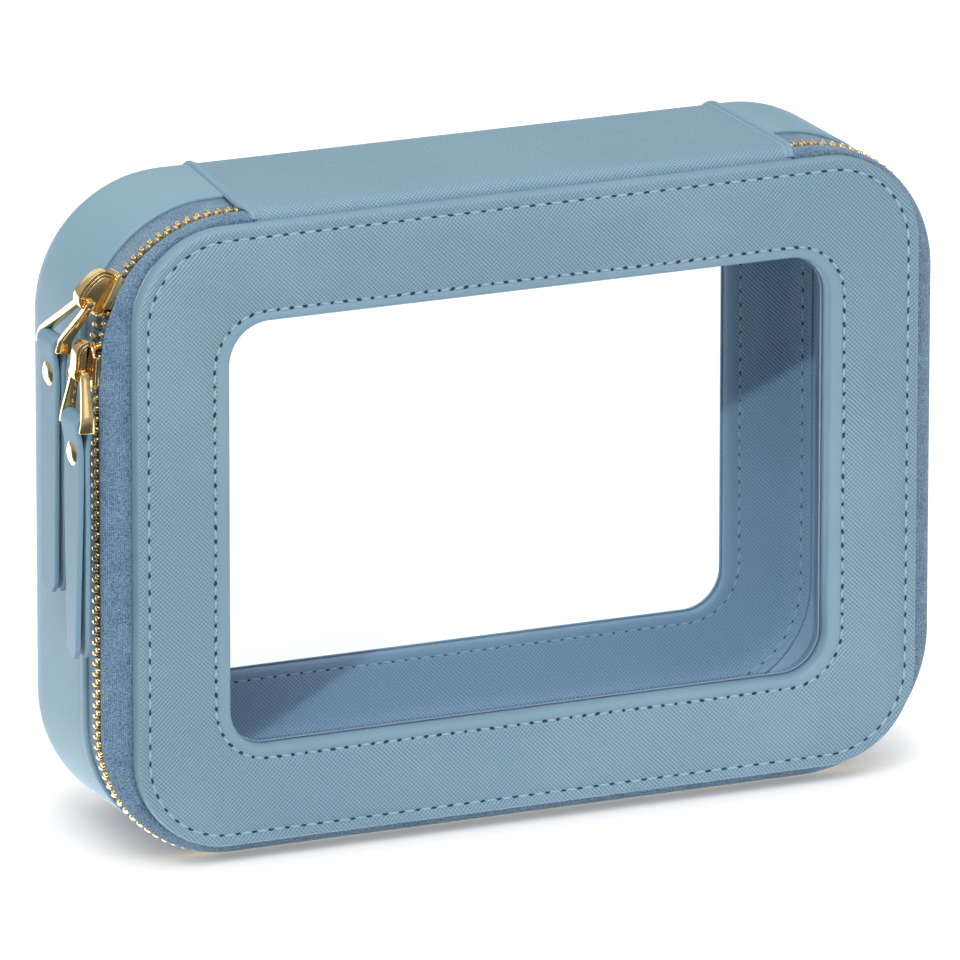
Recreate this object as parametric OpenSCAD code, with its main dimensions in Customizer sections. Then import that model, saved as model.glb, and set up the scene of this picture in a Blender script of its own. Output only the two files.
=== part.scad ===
// Zip-round makeup train case with a windowed lid, two sliders and leather pulls.
// Every sub-part is drawn in the case's own section frame: x to the right, y up from
// the middle of the wall, z back from the front face. in_place() stands it on its base.

/* [Case wall] */
// Width over the side walls
case_w = 210; // [190:1:240]
// Height from the base to the top wall
case_h = 156; // [146:1:180]
// Depth from the front face to the rear face
case_d = 61; // [56:1:80]
// Radius of the four corners of the wall
corner_r = 32; // [29:0.5:40]
// Radius of the rolled edge between wall and rear panel
rear_edge_r = 14; // [10:0.5:18]
// Depth at which the folded leather edge of the wall begins
wall_front = 21; // [19:0.5:26]

/* [Layers] */
// Synthetic leather
leather_t = 0.9; // [0.6:0.1:1.4]
// Stiffening board
board_t = 1.4; // [1:0.1:2.4]
// Inner lining
lining_t = 0.6; // [0.4:0.1:1]
// Foam behind the front leather
padding_t = 2.1; // [1.2:0.1:3]
// Gap kept between loose layers
layer_gap = 0.1; // [0.05:0.05:0.3]

/* [Front panel] */
// How far the rolled edge lies inside the wall at each side
panel_inset_x = 5.2; // [5:0.1:8]
// How far the rolled edge lies inside the wall at top and bottom
panel_inset_y = 3.4; // [3:0.1:6]
// Corner radius of the panel
panel_r = 22.8; // [18:0.2:28]
// How far the panel's middle lies above the wall's middle
panel_rise = 1; // [0:0.1:1.5]
// Radius of the rolled front edge
panel_edge_r = 1.8; // [1.2:0.1:2.4]

/* [Windows] */
// Width of the frame beside each window opening
rail_x = 23.3; // [20:0.1:36]
// Height of the frame above and below each window opening
rail_y = 23.1; // [20:0.1:32]
// Corner radius of each window opening
window_r = 10; // [6:0.5:16]
// Clear sheet
window_t = 0.6; // [0.4:0.1:0.7]
// How far the clear sheet reaches under its frame
window_lap = 6; // [4:0.5:9]

/* [Zip] */
// Depth of the zip's centre line
zip_d = 10.6; // [10:0.1:13]
// How far the teeth stand out of the wall at each side
zip_proud_x = 1.5; // [1:0.1:2]
// How far the teeth lie inside the wall at top and bottom
zip_inset_y = 0.35; // [0.2:0.05:0.8]
// Corner radius over the teeth
zip_r = 33; // [30:0.5:38]
// Distance from one tooth to the next on the same tape
tooth_pitch = 2.54; // [2.4:0.02:3]
// Thickness of a tooth along the chain
tooth_t = 1.02; // [0.8:0.02:1.08]
// Height of a tooth across the tape
tooth_h = 2.4; // [2:0.1:2.8]
// Distance from the centre line to the back of a tooth
tooth_back = 1.6; // [1.3:0.1:2]
// How far a tooth reaches past the centre line
tooth_reach = 0.45; // [0.3:0.05:0.6]
// Woven tape
tape_t = 0.8; // [0.5:0.1:1]
// How far each row opens between the two sliders
open_gap = 1.5; // [1.3:0.1:1.6]
// Depth of the tape's rear edge under the leather
tape_rear_end = 26; // [25:0.5:30]

/* [Hinge strip] */
// Left seam at the front panel
seam_left_front = -66.4; // [-68:0.2:-60]
// Left seam at the zip line
seam_left_zip = -69.6; // [-71:0.2:-60]
// Left seam at the rear edge
seam_left_rear = -64; // [-70:0.2:-60]
// Right seam at the front panel
seam_right_front = 68.1; // [60:0.2:70]
// Right seam at the zip line
seam_right_zip = 68.7; // [60:0.2:71]
// Right seam at the rear edge
seam_right_rear = 68.6; // [60:0.2:71]
// Clearance between the two halves of the strip
hinge_gap = 0.3; // [0.2:0.05:0.6]
// Radius of the bend behind the front panel's top edge
hinge_bend_r = 3.2; // [3:0.1:5]
// Width of a seam welt
welt_w = 1.8; // [1.2:0.1:2.6]
// Height of a seam welt
welt_h = 0.8; // [0.5:0.1:1]
// Distance from the hinge line at which a welt stops
welt_back = 2; // [1.6:0.1:2.2]

/* [Sliders] */
// Length along the chain
slider_l = 8.6; // [7:0.1:10]
// Width across the chain
slider_w = 7.6; // [7:0.1:8]
// Width at the closed end
slider_tail_w = 6; // [5:0.1:7]
// Thickness of each plate
slider_plate_t = 1; // [0.8:0.05:1.2]
// Clearance between plate and teeth
slider_clear = 0.5; // [0.4:0.05:0.7]
// Thickness of the wedge between the rows
wedge_t = 0.8; // [0.6:0.05:0.9]
// Length of the wedge
wedge_l = 2.2; // [1.6:0.1:2.6]
// Length of the bridge over the outer plate
bridge_l = 7.4; // [6.4:0.1:8]
// Width of the bridge
bridge_w = 2.6; // [2:0.1:3.2]
// Clear height under the bridge
bridge_clear = 3.6; // [3.4:0.1:4]
// Thickness of the bridge
bridge_t = 1.1; // [0.9:0.05:1.4]
// Height of the lower slider above the wall's middle
lower_slider_y = 42; // [34:0.5:43]
// Angle of the upper slider round the corner, from level
upper_slider_angle = 30; // [28:0.5:45]

/* [Pulls] */
// Radius of both cross bars of a pull frame
bar_r = 0.8; // [0.6:0.05:0.9]
// Length of the bar that runs through the bridge
top_bar_l = 7.4; // [7.2:0.1:8.4]
// Thickness of a frame's cheek
cheek_t = 1.7; // [1.2:0.1:2]
// Width of a cheek at its lower end
cheek_w = 3.5; // [3:0.1:4]
// Height of a cheek's lower end
cheek_h = 3; // [2:0.1:4]
// Gap between a strap's side and a cheek
cheek_gap = 0.3; // [0.3:0.05:0.6]
// Height of a bar above the outer plate
bar_rise = 2.3; // [2:0.05:2.4]
// Distance of the strap bar from the wall's outer face
pull_off = 5.8; // [5.4:0.1:8]
// Height of the upper strap bar above the wall's middle
upper_bar_y = 46.5; // [46:0.5:50]
// Depth of the upper strap bar's middle
upper_bar_d = 24.5; // [24:0.5:30]
// Height of the lower strap bar above the wall's middle
lower_bar_y = 31; // [26:0.5:32]
// Depth of the lower strap bar's middle
lower_bar_d = 10.3; // [9:0.1:10.6]
// Width of a strap
strap_w = 9.5; // [8:0.1:10]
// Length of a strap below its bar
strap_l = 60; // [50:1:66]
// Thickness of one strap layer
strap_t = 1.2; // [0.8:0.1:1.3]
// Gap between the layers at the rivet
strap_gap = 0.3; // [0.2:0.05:0.5]
// Gap between the layers at the free end
strap_splay = 1.1; // [0.4:0.1:1.4]
// Distance of the rivet below the bar
rivet_drop = 8.7; // [7:0.1:12]
// Radius of the rivet's head
rivet_r = 3; // [2.2:0.1:3.4]
// Height of the rivet's head
rivet_h = 0.9; // [0.6:0.1:1.2]

/* [Hidden] */
$fn = 48;
hull_fn = 32;
thin = 0.05;

dusty_blue = [0.50, 0.62, 0.70];
deep_blue = [0.36, 0.47, 0.57];
navy_board = [0.24, 0.30, 0.38];
gold = [0.86, 0.68, 0.36];
clear_tint = [0.85, 0.9, 0.95, 0.35];

wall_t = leather_t + board_t + lining_t;
panel_t = leather_t + padding_t + board_t + lining_t;
half_w = case_w / 2;
half_h = case_h / 2;
panel_w = case_w - 2 * panel_inset_x;
panel_h = case_h - 2 * panel_inset_y;
window_w = panel_w - 2 * rail_x;
window_h = panel_h - 2 * rail_y;
zip_w = case_w + 2 * zip_proud_x;
zip_h = case_h - 2 * zip_inset_y;
corner_x = half_w - corner_r;
corner_y = half_h - corner_r;
rear_flat_r = corner_r - rear_edge_r;
rear_flat_w = 2 * (half_w - rear_edge_r);
rear_flat_h = 2 * (half_h - rear_edge_r);

// Middle surface of the tapes and of the teeth
chain_w = zip_w / 2 - tooth_h / 2;
chain_h = zip_h / 2 - tooth_h / 2;
chain_r = zip_r - tooth_h / 2;
chain_x = chain_w - chain_r;
chain_y = chain_h - chain_r;
tape_front_edge = zip_d - tooth_back;
tape_rear_edge = zip_d + tooth_back;

// The chain runs from the left seam, round the case, to the right seam
arc_run = chain_r * PI / 2;
side_run = 2 * chain_y;
base_run = 2 * chain_x;
start_run = chain_x + seam_left_zip;
end_run = chain_x - seam_right_zip;
end_0 = start_run;
end_1 = end_0 + arc_run;
end_2 = end_1 + side_run;
end_3 = end_2 + arc_run;
end_4 = end_3 + base_run;
end_5 = end_4 + arc_run;
end_6 = end_5 + side_run;
end_7 = end_6 + arc_run;
chain_l = end_7 + end_run;

// Where the sliders stand on the chain, and the open stretch between them
lower_s = end_1 + chain_y - lower_slider_y;
upper_s = end_0 + arc_run * (90 - upper_slider_angle) / 90;
middle_s = (lower_s + upper_s) / 2;
open_half = (lower_s - upper_s) / 2 - slider_l / 2 + wedge_l + 0.5;
close_run = slider_l - wedge_l - 3.4;
slider_inner = tooth_h / 2 + slider_clear;
slider_outer = slider_inner + slider_plate_t;
bar_height = slider_outer + bar_rise;
upper_bar_shift = 1.2;
bar_x = -(half_w + pull_off);
loop_clear = 0.25;
loop_r = bar_r + loop_clear + strap_t;
cheek_r = bar_r + 0.3;

function corner_point(cx, cy, a) = [cx + chain_r * cos(a), cy + chain_r * sin(a), a];

// Place on the chain at a run s: x, y and the direction of the outward normal
function chain_at(s) =
    s < end_0 ? [end_0 - s - chain_x, chain_h, 90] :
    s < end_1 ? corner_point(-chain_x, chain_y, 90 + 90 * (s - end_0) / arc_run) :
    s < end_2 ? [-chain_w, chain_y - s + end_1, 180] :
    s < end_3 ? corner_point(-chain_x, -chain_y, 180 + 90 * (s - end_2) / arc_run) :
    s < end_4 ? [s - end_3 - chain_x, -chain_h, 270] :
    s < end_5 ? corner_point(chain_x, -chain_y, 270 + 90 * (s - end_4) / arc_run) :
    s < end_6 ? [chain_w, s - end_5 - chain_y, 360] :
    s < end_7 ? corner_point(chain_x, chain_y, 90 * (s - end_6) / arc_run) :
    [chain_x - s + end_7, chain_h, 90];

// How far a row stands back from the centre line at a run s
function opening_at(s) =
    open_gap * max(0, min(1, (open_half + close_run - abs(s - middle_s)) / close_run));

function along(p, normal_off, run_off) = [
    p[0] + normal_off * cos(p[2]) - run_off * sin(p[2]),
    p[1] + normal_off * sin(p[2]) + run_off * cos(p[2])
];

// ---- Shared shapes ----

module in_place() {
    translate([0, -case_d / 2, half_h])
        rotate([90, 0, 0])
            mirror([0, 0, 1])
                children();
}

module outline(w, h, r) {
    square([w, h - 2 * r], center = true);
    square([w - 2 * r, h], center = true);
    for (sx = [-1, 1])
        for (sy = [-1, 1])
            translate([sx * (w / 2 - r), sy * (h / 2 - r)])
                circle(r);
}

module slab(w, h, r, front, back) {
    translate([0, 0, front])
        linear_extrude(back - front)
            outline(w, h, r);
}

// A plate with a window in it
module frame_plate(w, h, r, rise, grow, front, back) {
    translate([0, 0, front])
        linear_extrude(back - front)
            difference() {
                translate([0, rise])
                    outline(w, h, r);
                translate([0, panel_rise])
                    outline(window_w + 2 * grow, window_h + 2 * grow, window_r + grow);
            }
}

module window_sheet(front) {
    translate([0, panel_rise, 0])
        slab(window_w + 2 * window_lap, window_h + 2 * window_lap, window_r + window_lap,
             front, front + window_t);
}

module window_binding(front, back) {
    frame_plate(window_w, window_h, window_r, panel_rise, -leather_t, front, back);
}

module along_x(l) {
    rotate([0, 0, 90])
        rotate([90, 0, 0])
            linear_extrude(l)
                children();
}

// Sweeps a profile round a rounded rectangle; the corners turn about (cx, cy)
module swept(cx, cy) {
    for (k = [0, 1])
        rotate([0, 0, 180 * k]) {
            translate([-cx, cy, 0])
                rotate([0, 0, 90])
                    rotate_extrude(angle = 90)
                        children();
            translate([cx, cy, 0])
                rotate_extrude(angle = 90)
                    children();
            translate([-cx, cy, 0])
                along_x(2 * cx)
                    children();
            translate([cx, cy, 0])
                rotate([90, 0, 0])
                    linear_extrude(2 * cy)
                        children();
        }
}

module quarter_ring(outer, inner) {
    intersection() {
        difference() {
            circle(outer);
            circle(inner);
        }
        square(outer);
    }
}

// Section of one layer of the wall, from its front edge round the rolled rear edge
module wall_profile(start, inset, t) {
    translate([corner_r - inset - t, start])
        square([t, case_d - rear_edge_r - start]);
    translate([rear_flat_r, case_d - rear_edge_r])
        quarter_ring(rear_edge_r - inset, rear_edge_r - inset - t);
}

module wall_layer(start, inset, t) {
    swept(corner_x, corner_y)
        wall_profile(start, inset, t);
}

module rear_layer(inset, t, grow) {
    frame_plate(rear_flat_w, rear_flat_h, rear_flat_r, 0, grow, case_d - inset - t, case_d - inset);
}

// The hinge strip's place seen from above, between its two seams
module strip_plan(grow, front, back) {
    reach = case_d;
    translate([0, half_h + reach, 0])
        rotate([90, 0, 0])
            linear_extrude(half_h - corner_y + reach)
                intersection() {
                    polygon([
                        [seam_left_front - grow, -reach], [seam_left_front - grow, 0],
                        [seam_left_zip - grow, zip_d], [seam_left_rear - grow, case_d],
                        [seam_left_rear - grow, 2 * reach], [seam_right_rear + grow, 2 * reach],
                        [seam_right_rear + grow, case_d], [seam_right_zip + grow, zip_d],
                        [seam_right_front + grow, 0], [seam_right_front + grow, -reach]
                    ]);
                    translate([-case_w, front])
                        square([2 * case_w, back - front]);
                }
}

// Only the two seam lines of that plan
module seams(front, back) {
    difference() {
        strip_plan(welt_w / 2, front, back);
        strip_plan(-welt_w / 2, front - 1, back + 1);
    }
}

// Section of the hinge strip's front half, bent down behind the front panel
module bend_profile(inset, t) {
    bend_d = panel_t + hinge_bend_r;
    translate([half_h - inset - t, bend_d])
        square([t, zip_d - hinge_gap / 2 - bend_d]);
    translate([half_h - hinge_bend_r, bend_d])
        mirror([0, 1])
            quarter_ring(hinge_bend_r - inset, hinge_bend_r - inset - t);
}

module tuck_profile(inset, t) {
    translate([half_h - 2 * hinge_bend_r, panel_t + inset])
        square([hinge_bend_r, t]);
}

module front_half(inset, t) {
    intersection() {
        translate([-corner_x, 0, 0])
            along_x(2 * corner_x) {
                bend_profile(inset, t);
                tuck_profile(inset, t);
            }
        strip_plan(0, 0, zip_d);
    }
}

// One section of a tape: part of the way from the front panel's edge to the zip
module tape_section(share, inset, d) {
    w = panel_w - 2 * thin + share * (2 * chain_w + tape_t - panel_w + 2 * thin);
    h = panel_h - 2 * thin + share * (2 * chain_h + tape_t - panel_h + 2 * thin);
    r = panel_r - thin + share * (chain_r + tape_t / 2 - panel_r + thin);
    translate([0, panel_rise * (1 - share), d])
        linear_extrude(thin)
            outline(w - 2 * inset, h - 2 * inset, r - inset, $fn = hull_fn);
}

module tooth(s, front_end, back_end) {
    p = chain_at(s);
    translate([p[0], p[1], zip_d])
        rotate([0, 0, p[2]])
            translate([-tooth_h / 2, -tooth_t / 2, front_end])
                cube([tooth_h, tooth_t, back_end - front_end]);
}

// ---- Case ----

// The wall's leather is two lengths, sewn end to end under the middle of the base
module gusset_half(side) {
    color(dusty_blue)
        in_place()
            intersection() {
                difference() {
                    wall_layer(wall_front, 0, leather_t);
                    strip_plan(0, 0, 2 * case_d);
                }
                translate([side * half_w, 0, case_d / 2])
                    cube([case_w, 2 * case_h, 2 * case_d], center = true);
            }
}

module gusset_leather_left() {
    gusset_half(-1);
}

module gusset_leather_right() {
    gusset_half(1);
}

module gusset_board() {
    color(navy_board)
        in_place()
            wall_layer(tape_rear_end + layer_gap, leather_t, board_t);
}

module gusset_lining() {
    color(deep_blue)
        in_place()
            wall_layer(tape_rear_end + layer_gap, leather_t + board_t, lining_t);
}

module rear_leather() {
    color(dusty_blue)
        in_place()
            rear_layer(0, leather_t, 0);
}

module rear_board() {
    color(navy_board)
        in_place()
            rear_layer(leather_t, board_t, window_lap + layer_gap);
}

module rear_lining() {
    color(deep_blue)
        in_place()
            rear_layer(leather_t + board_t, lining_t, 0);
}

module rear_window() {
    color(clear_tint)
        in_place()
            window_sheet(case_d - leather_t - window_t);
}

module rear_window_binding() {
    color(deep_blue)
        in_place()
            window_binding(case_d - wall_t, case_d - leather_t - window_t);
}

module hinge_rear_leather() {
    color(dusty_blue)
        in_place()
            intersection() {
                wall_layer(zip_d + hinge_gap / 2, 0, leather_t);
                strip_plan(0, zip_d, 2 * case_d);
            }
}

module hinge_rear_lining() {
    color(deep_blue)
        in_place()
            intersection() {
                wall_layer(zip_d + hinge_gap / 2, leather_t, lining_t);
                strip_plan(0, zip_d, tape_rear_end);
            }
}

module seam_welts_rear() {
    color(dusty_blue)
        in_place()
            intersection() {
                wall_layer(zip_d + welt_back, -welt_h, welt_h);
                seams(zip_d, 2 * case_d);
            }
}

// The rear tape's outer or inner surface: in from the zip, then straight under the leather
module tape_rear_form(inset, front, back) {
    tuck = leather_t + layer_gap + inset;
    fold = wall_front - 0.5;
    hull() {
        tape_section(1, inset, front);
        slab(case_w - 2 * tuck, case_h - 2 * tuck, corner_r - tuck, fold - thin, fold, $fn = hull_fn);
    }
    slab(case_w - 2 * tuck, case_h - 2 * tuck, corner_r - tuck, fold - thin, back, $fn = hull_fn);
}

module tape_rear() {
    color(deep_blue)
        in_place()
            difference() {
                tape_rear_form(0, tape_rear_edge, tape_rear_end);
                tape_rear_form(tape_t, tape_rear_edge - thin, tape_rear_end + 1);
                strip_plan(hinge_gap, 0, case_d);
            }
}

module teeth_rear() {
    color(gold)
        in_place()
            for (s = [tooth_pitch : tooth_pitch : chain_l - tooth_t])
                tooth(s, opening_at(s) - tooth_reach, tooth_back);
}

// ---- Lid ----

module front_leather() {
    edge_c = panel_r - panel_edge_r;
    color(dusty_blue)
        in_place() {
            frame_plate(panel_w - 2 * panel_edge_r, panel_h - 2 * panel_edge_r, edge_c, panel_rise, 0,
                        0, leather_t);
            translate([0, panel_rise, 0])
                swept(panel_w / 2 - panel_r, panel_h / 2 - panel_r) {
                    translate([edge_c, panel_edge_r])
                        mirror([0, 1])
                            quarter_ring(panel_edge_r, panel_edge_r - leather_t);
                    translate([panel_r - leather_t, panel_edge_r])
                        square([leather_t, panel_t - panel_edge_r]);
                }
        }
}

module panel_layer(inset, grow, front, back) {
    frame_plate(panel_w - 2 * inset, panel_h - 2 * inset, panel_r - inset, panel_rise, grow, front, back);
}

module front_padding() {
    color(navy_board)
        in_place()
            panel_layer(panel_edge_r, leather_t, leather_t, leather_t + padding_t);
}

module front_board() {
    color(navy_board)
        in_place()
            panel_layer(leather_t, leather_t, leather_t + padding_t, panel_t - lining_t);
}

module front_lining() {
    color(deep_blue)
        in_place()
            panel_layer(leather_t, window_lap + layer_gap, panel_t - lining_t, panel_t);
}

module front_window() {
    color(clear_tint)
        in_place()
            window_sheet(panel_t - lining_t);
}

module front_window_binding() {
    color(dusty_blue)
        in_place()
            frame_plate(window_w + 2 * leather_t, window_h + 2 * leather_t, window_r + leather_t,
                        panel_rise, 0, leather_t, panel_t - lining_t);
}

module hinge_front_leather() {
    color(dusty_blue)
        in_place()
            front_half(0, leather_t);
}

module hinge_front_lining() {
    color(deep_blue)
        in_place()
            front_half(leather_t, lining_t);
}

module seam_welts_front() {
    color(dusty_blue)
        in_place()
            intersection() {
                translate([-corner_x, 0, 0])
                    along_x(2 * corner_x)
                        bend_profile(-welt_h, welt_h);
                seams(panel_t, zip_d - welt_back);
            }
}

module tape_front() {
    knee = panel_t + 0.4 * (tape_front_edge - panel_t);
    color(deep_blue)
        in_place()
            difference() {
                hull() {
                    tape_section(0, 0, panel_t);
                    tape_section(0.82, 0, knee);
                    tape_section(1, 0, tape_front_edge - thin);
                }
                hull() {
                    tape_section(0, tape_t, panel_t - thin);
                    tape_section(0, tape_t, panel_t + tape_t / 2);
                    tape_section(0.82, tape_t, knee + tape_t / 2);
                    tape_section(1, tape_t, tape_front_edge);
                }
                strip_plan(welt_w / 2, 0, case_d);
            }
}

module teeth_front() {
    color(gold)
        in_place()
            for (s = [tooth_pitch / 2 : tooth_pitch : chain_l - tooth_t])
                tooth(s, -tooth_back, tooth_reach - opening_at(s));
}

// ---- Sliders, drawn with x outward, y towards the wedge and z along the depth ----

module plate_outline() {
    nose = slider_l / 2;
    polygon([
        [-nose, -slider_tail_w / 2], [nose - 2, -slider_w / 2], [nose, 1.2 - slider_w / 2],
        [nose, slider_w / 2 - 1.2], [nose - 2, slider_w / 2], [-nose, slider_tail_w / 2]
    ]);
}

module slider_plate(x) {
    translate([x, 0, 0])
        rotate([90, 0, 90])
            linear_extrude(slider_plate_t)
                plate_outline();
}

module slider_body() {
    rail_in = tooth_back + 0.8;
    rail_w = slider_tail_w / 2 - rail_in;
    rail_h = 0.6;
    inner_rail_h = 0.3;
    slider_plate(slider_inner);
    translate([-slider_outer, -slider_l / 2, -slider_tail_w / 2])
        cube([slider_plate_t, slider_l - 1, slider_tail_w]);
    for (side = [0, 1])
        mirror([0, 0, side])
            translate([0, 1 - slider_l / 2, rail_in]) {
                translate([slider_inner - rail_h, 0, 0])
                    cube([rail_h, slider_l - 3, rail_w]);
                translate([-slider_inner, 0, 0])
                    cube([inner_rail_h, slider_l - 3, rail_w]);
            }
    translate([-slider_inner, slider_l / 2 - wedge_l - 0.3, -wedge_t / 2])
        cube([2 * slider_inner, wedge_l, wedge_t]);
}

module slider_bridge() {
    bend = 1.6;
    translate([slider_outer, 0, -bridge_w / 2])
        linear_extrude(bridge_w)
            difference() {
                bridge_outline(bridge_clear + bridge_t, bridge_l, bend + bridge_t);
                bridge_outline(bridge_clear, bridge_l - 2 * bridge_t, bend);
            }
}

module bridge_outline(h, l, r) {
    intersection() {
        translate([0, -l / 2])
            square([h, l]);
        union() {
            translate([0, -l / 2])
                square([h - r, l]);
            translate([0, r - l / 2])
                square([h, l - 2 * r]);
            for (side = [-1, 1])
                translate([h - r, side * (l / 2 - r)])
                    circle(r);
        }
    }
}

module at_chain(s) {
    p = chain_at(s);
    in_place()
        translate([p[0], p[1], zip_d])
            rotate([0, 0, p[2]])
                children();
}

module slider_upper_body() {
    color(gold)
        at_chain(upper_s)
            slider_body();
}

module slider_upper_bridge() {
    color(gold)
        at_chain(upper_s)
            slider_bridge();
}

module slider_lower_body() {
    color(gold)
        at_chain(lower_s)
            mirror([0, 1, 0])
                slider_body();
}

module slider_lower_bridge() {
    color(gold)
        at_chain(lower_s)
            slider_bridge();
}

// ---- Pulls ----

module cross_bar(p, d, l) {
    translate([p[0], p[1], d - l / 2])
        cylinder(r = bar_r, h = l);
}

module knuckle(p, d) {
    translate([p[0], p[1], d - cheek_t / 2])
        cylinder(r = cheek_r, h = cheek_t, $fn = hull_fn);
}

// One cheek: down beside the bridge, over to its side of the strap, then down past the loop
module cheek(top, bottom, top_d, bottom_d) {
    knee = top + 0.3 * (bottom - top);
    heel = bottom + [0, loop_r + cheek_r + bar_r];
    hull() {
        knuckle(top, top_d);
        knuckle(knee, top_d);
    }
    hull() {
        knuckle(knee, top_d);
        knuckle(heel, bottom_d);
    }
    hull() {
        knuckle(heel, bottom_d);
        translate([bottom[0] - cheek_w / 2, bottom[1] - cheek_h / 2, bottom_d - cheek_t / 2])
            cube([cheek_w, cheek_h, cheek_t]);
    }
}

module pull_frame(top, bottom, bottom_d) {
    inner_l = strap_w + 2 * cheek_gap;
    cross_bar(top, zip_d, top_bar_l);
    cross_bar(bottom, bottom_d, inner_l + cheek_t);
    for (side = [-1, 1])
        cheek(top, bottom, zip_d + side * (top_bar_l - cheek_t) / 2,
              bottom_d + side * (inner_l + cheek_t) / 2);
}

module pull_frame_upper() {
    color(gold)
        in_place()
            pull_frame(along(chain_at(upper_s), bar_height, upper_bar_shift), [bar_x, upper_bar_y],
                       upper_bar_d);
}

module pull_frame_lower() {
    color(gold)
        in_place()
            pull_frame(along(chain_at(lower_s), bar_height, 0), [bar_x, lower_bar_y], lower_bar_d);
}

function arc_points(r, from, to) = [
    for (i = [0 : 12])
        let (a = from + (to - from) * i / 12)
            [r * cos(a), r * sin(a)]
];

// One side of a strap's section below the loop; side is -1 for the outer layer and 1 for the inner
function layer_points(side) =
    let (
        join = rivet_r - rivet_drop,
        near = side * strap_gap / 2,
        end = side * strap_splay / 2,
        out = side * strap_t
    )
    [
        [near + out, join], [near + out, join - 2 * rivet_r], [end + out, -strap_l],
        [end, -strap_l], [near, join - 2 * rivet_r], [near, join]
    ];

// A strap is one strip, folded round the bar, with its two layers spreading at the free end
module strap_section() {
    outer_layer = layer_points(-1);
    polygon(concat(
        arc_points(loop_r, 180, 0), layer_points(1), arc_points(loop_r - strap_t, 0, 180),
        [for (i = [len(outer_layer) - 1 : -1 : 0]) outer_layer[i]]
    ));
}

module strap() {
    chamfer = 2.5;
    difference() {
        intersection() {
            translate([0, 0, -strap_w / 2])
                linear_extrude(strap_w)
                    strap_section();
            rotate([0, -90, 0])
                translate([0, 0, -strap_w])
                    linear_extrude(2 * strap_w)
                        polygon([
                            [-strap_w / 2, strap_w], [strap_w / 2, strap_w],
                            [strap_w / 2, chamfer - strap_l], [strap_w / 2 - chamfer, -strap_l],
                            [chamfer - strap_w / 2, -strap_l], [-strap_w / 2, chamfer - strap_l]
                        ]);
        }
        rivet_shank(rivet_r / 2, strap_w);
    }
}

module rivet_shank(r, l) {
    translate([0, -rivet_drop, 0])
        rotate([0, 90, 0])
            translate([0, 0, -l / 2])
                cylinder(r = r, h = l);
}

module rivet() {
    shank_clear = 0.05;
    stack = strap_gap + 2 * strap_t;
    dome_r = (rivet_r * rivet_r + rivet_h * rivet_h) / (2 * rivet_h);
    rivet_shank(rivet_r / 2 - shank_clear, stack);
    translate([stack / 2, -rivet_drop, 0])
        rotate([0, 90, 0])
            cylinder(r = rivet_r - 0.6, h = 0.5);
    intersection() {
        translate([dome_r - rivet_h - stack / 2, -rivet_drop, 0])
            sphere(dome_r);
        translate([-stack / 2 - rivet_h, -rivet_drop, 0])
            rotate([0, 90, 0])
                cylinder(r = rivet_r, h = rivet_h);
    }
}

module at_bar(y, d) {
    in_place()
        translate([bar_x, y, d])
            children();
}

module strap_upper() {
    color(dusty_blue)
        at_bar(upper_bar_y, upper_bar_d)
            strap();
}

module strap_rivet_upper() {
    color(gold)
        at_bar(upper_bar_y, upper_bar_d)
            rivet();
}

module strap_lower() {
    color(dusty_blue)
        at_bar(lower_bar_y, lower_bar_d)
            strap();
}

module strap_rivet_lower() {
    color(gold)
        at_bar(lower_bar_y, lower_bar_d)
            rivet();
}

gusset_leather_left();
gusset_leather_right();
gusset_board();
gusset_lining();
rear_leather();
rear_board();
rear_lining();
rear_window();
rear_window_binding();
hinge_rear_leather();
hinge_rear_lining();
seam_welts_rear();
tape_rear();
teeth_rear();
front_leather();
front_padding();
front_board();
front_lining();
front_window();
front_window_binding();
hinge_front_leather();
hinge_front_lining();
seam_welts_front();
tape_front();
teeth_front();
slider_upper_body();
slider_upper_bridge();
slider_lower_body();
slider_lower_bridge();
pull_frame_upper();
pull_frame_lower();
strap_upper();
strap_rivet_upper();
strap_lower();
strap_rivet_lower();
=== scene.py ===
# %% [markdown]
# # A zip-round makeup train case
# The real thing is a small stiffened case of dusty blue synthetic leather. Its front panel is a
# padded frame round a clear window, and it swings up on a leather strip along the top once the
# two-slider zip is open. The rigid frame of the part is loaded first, and every visible piece is
# then modelled round it in its own place.

# %% Load the frame
import math
import bpy
import bmesh
import numpy as np
from mathutils import Matrix, Vector


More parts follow.
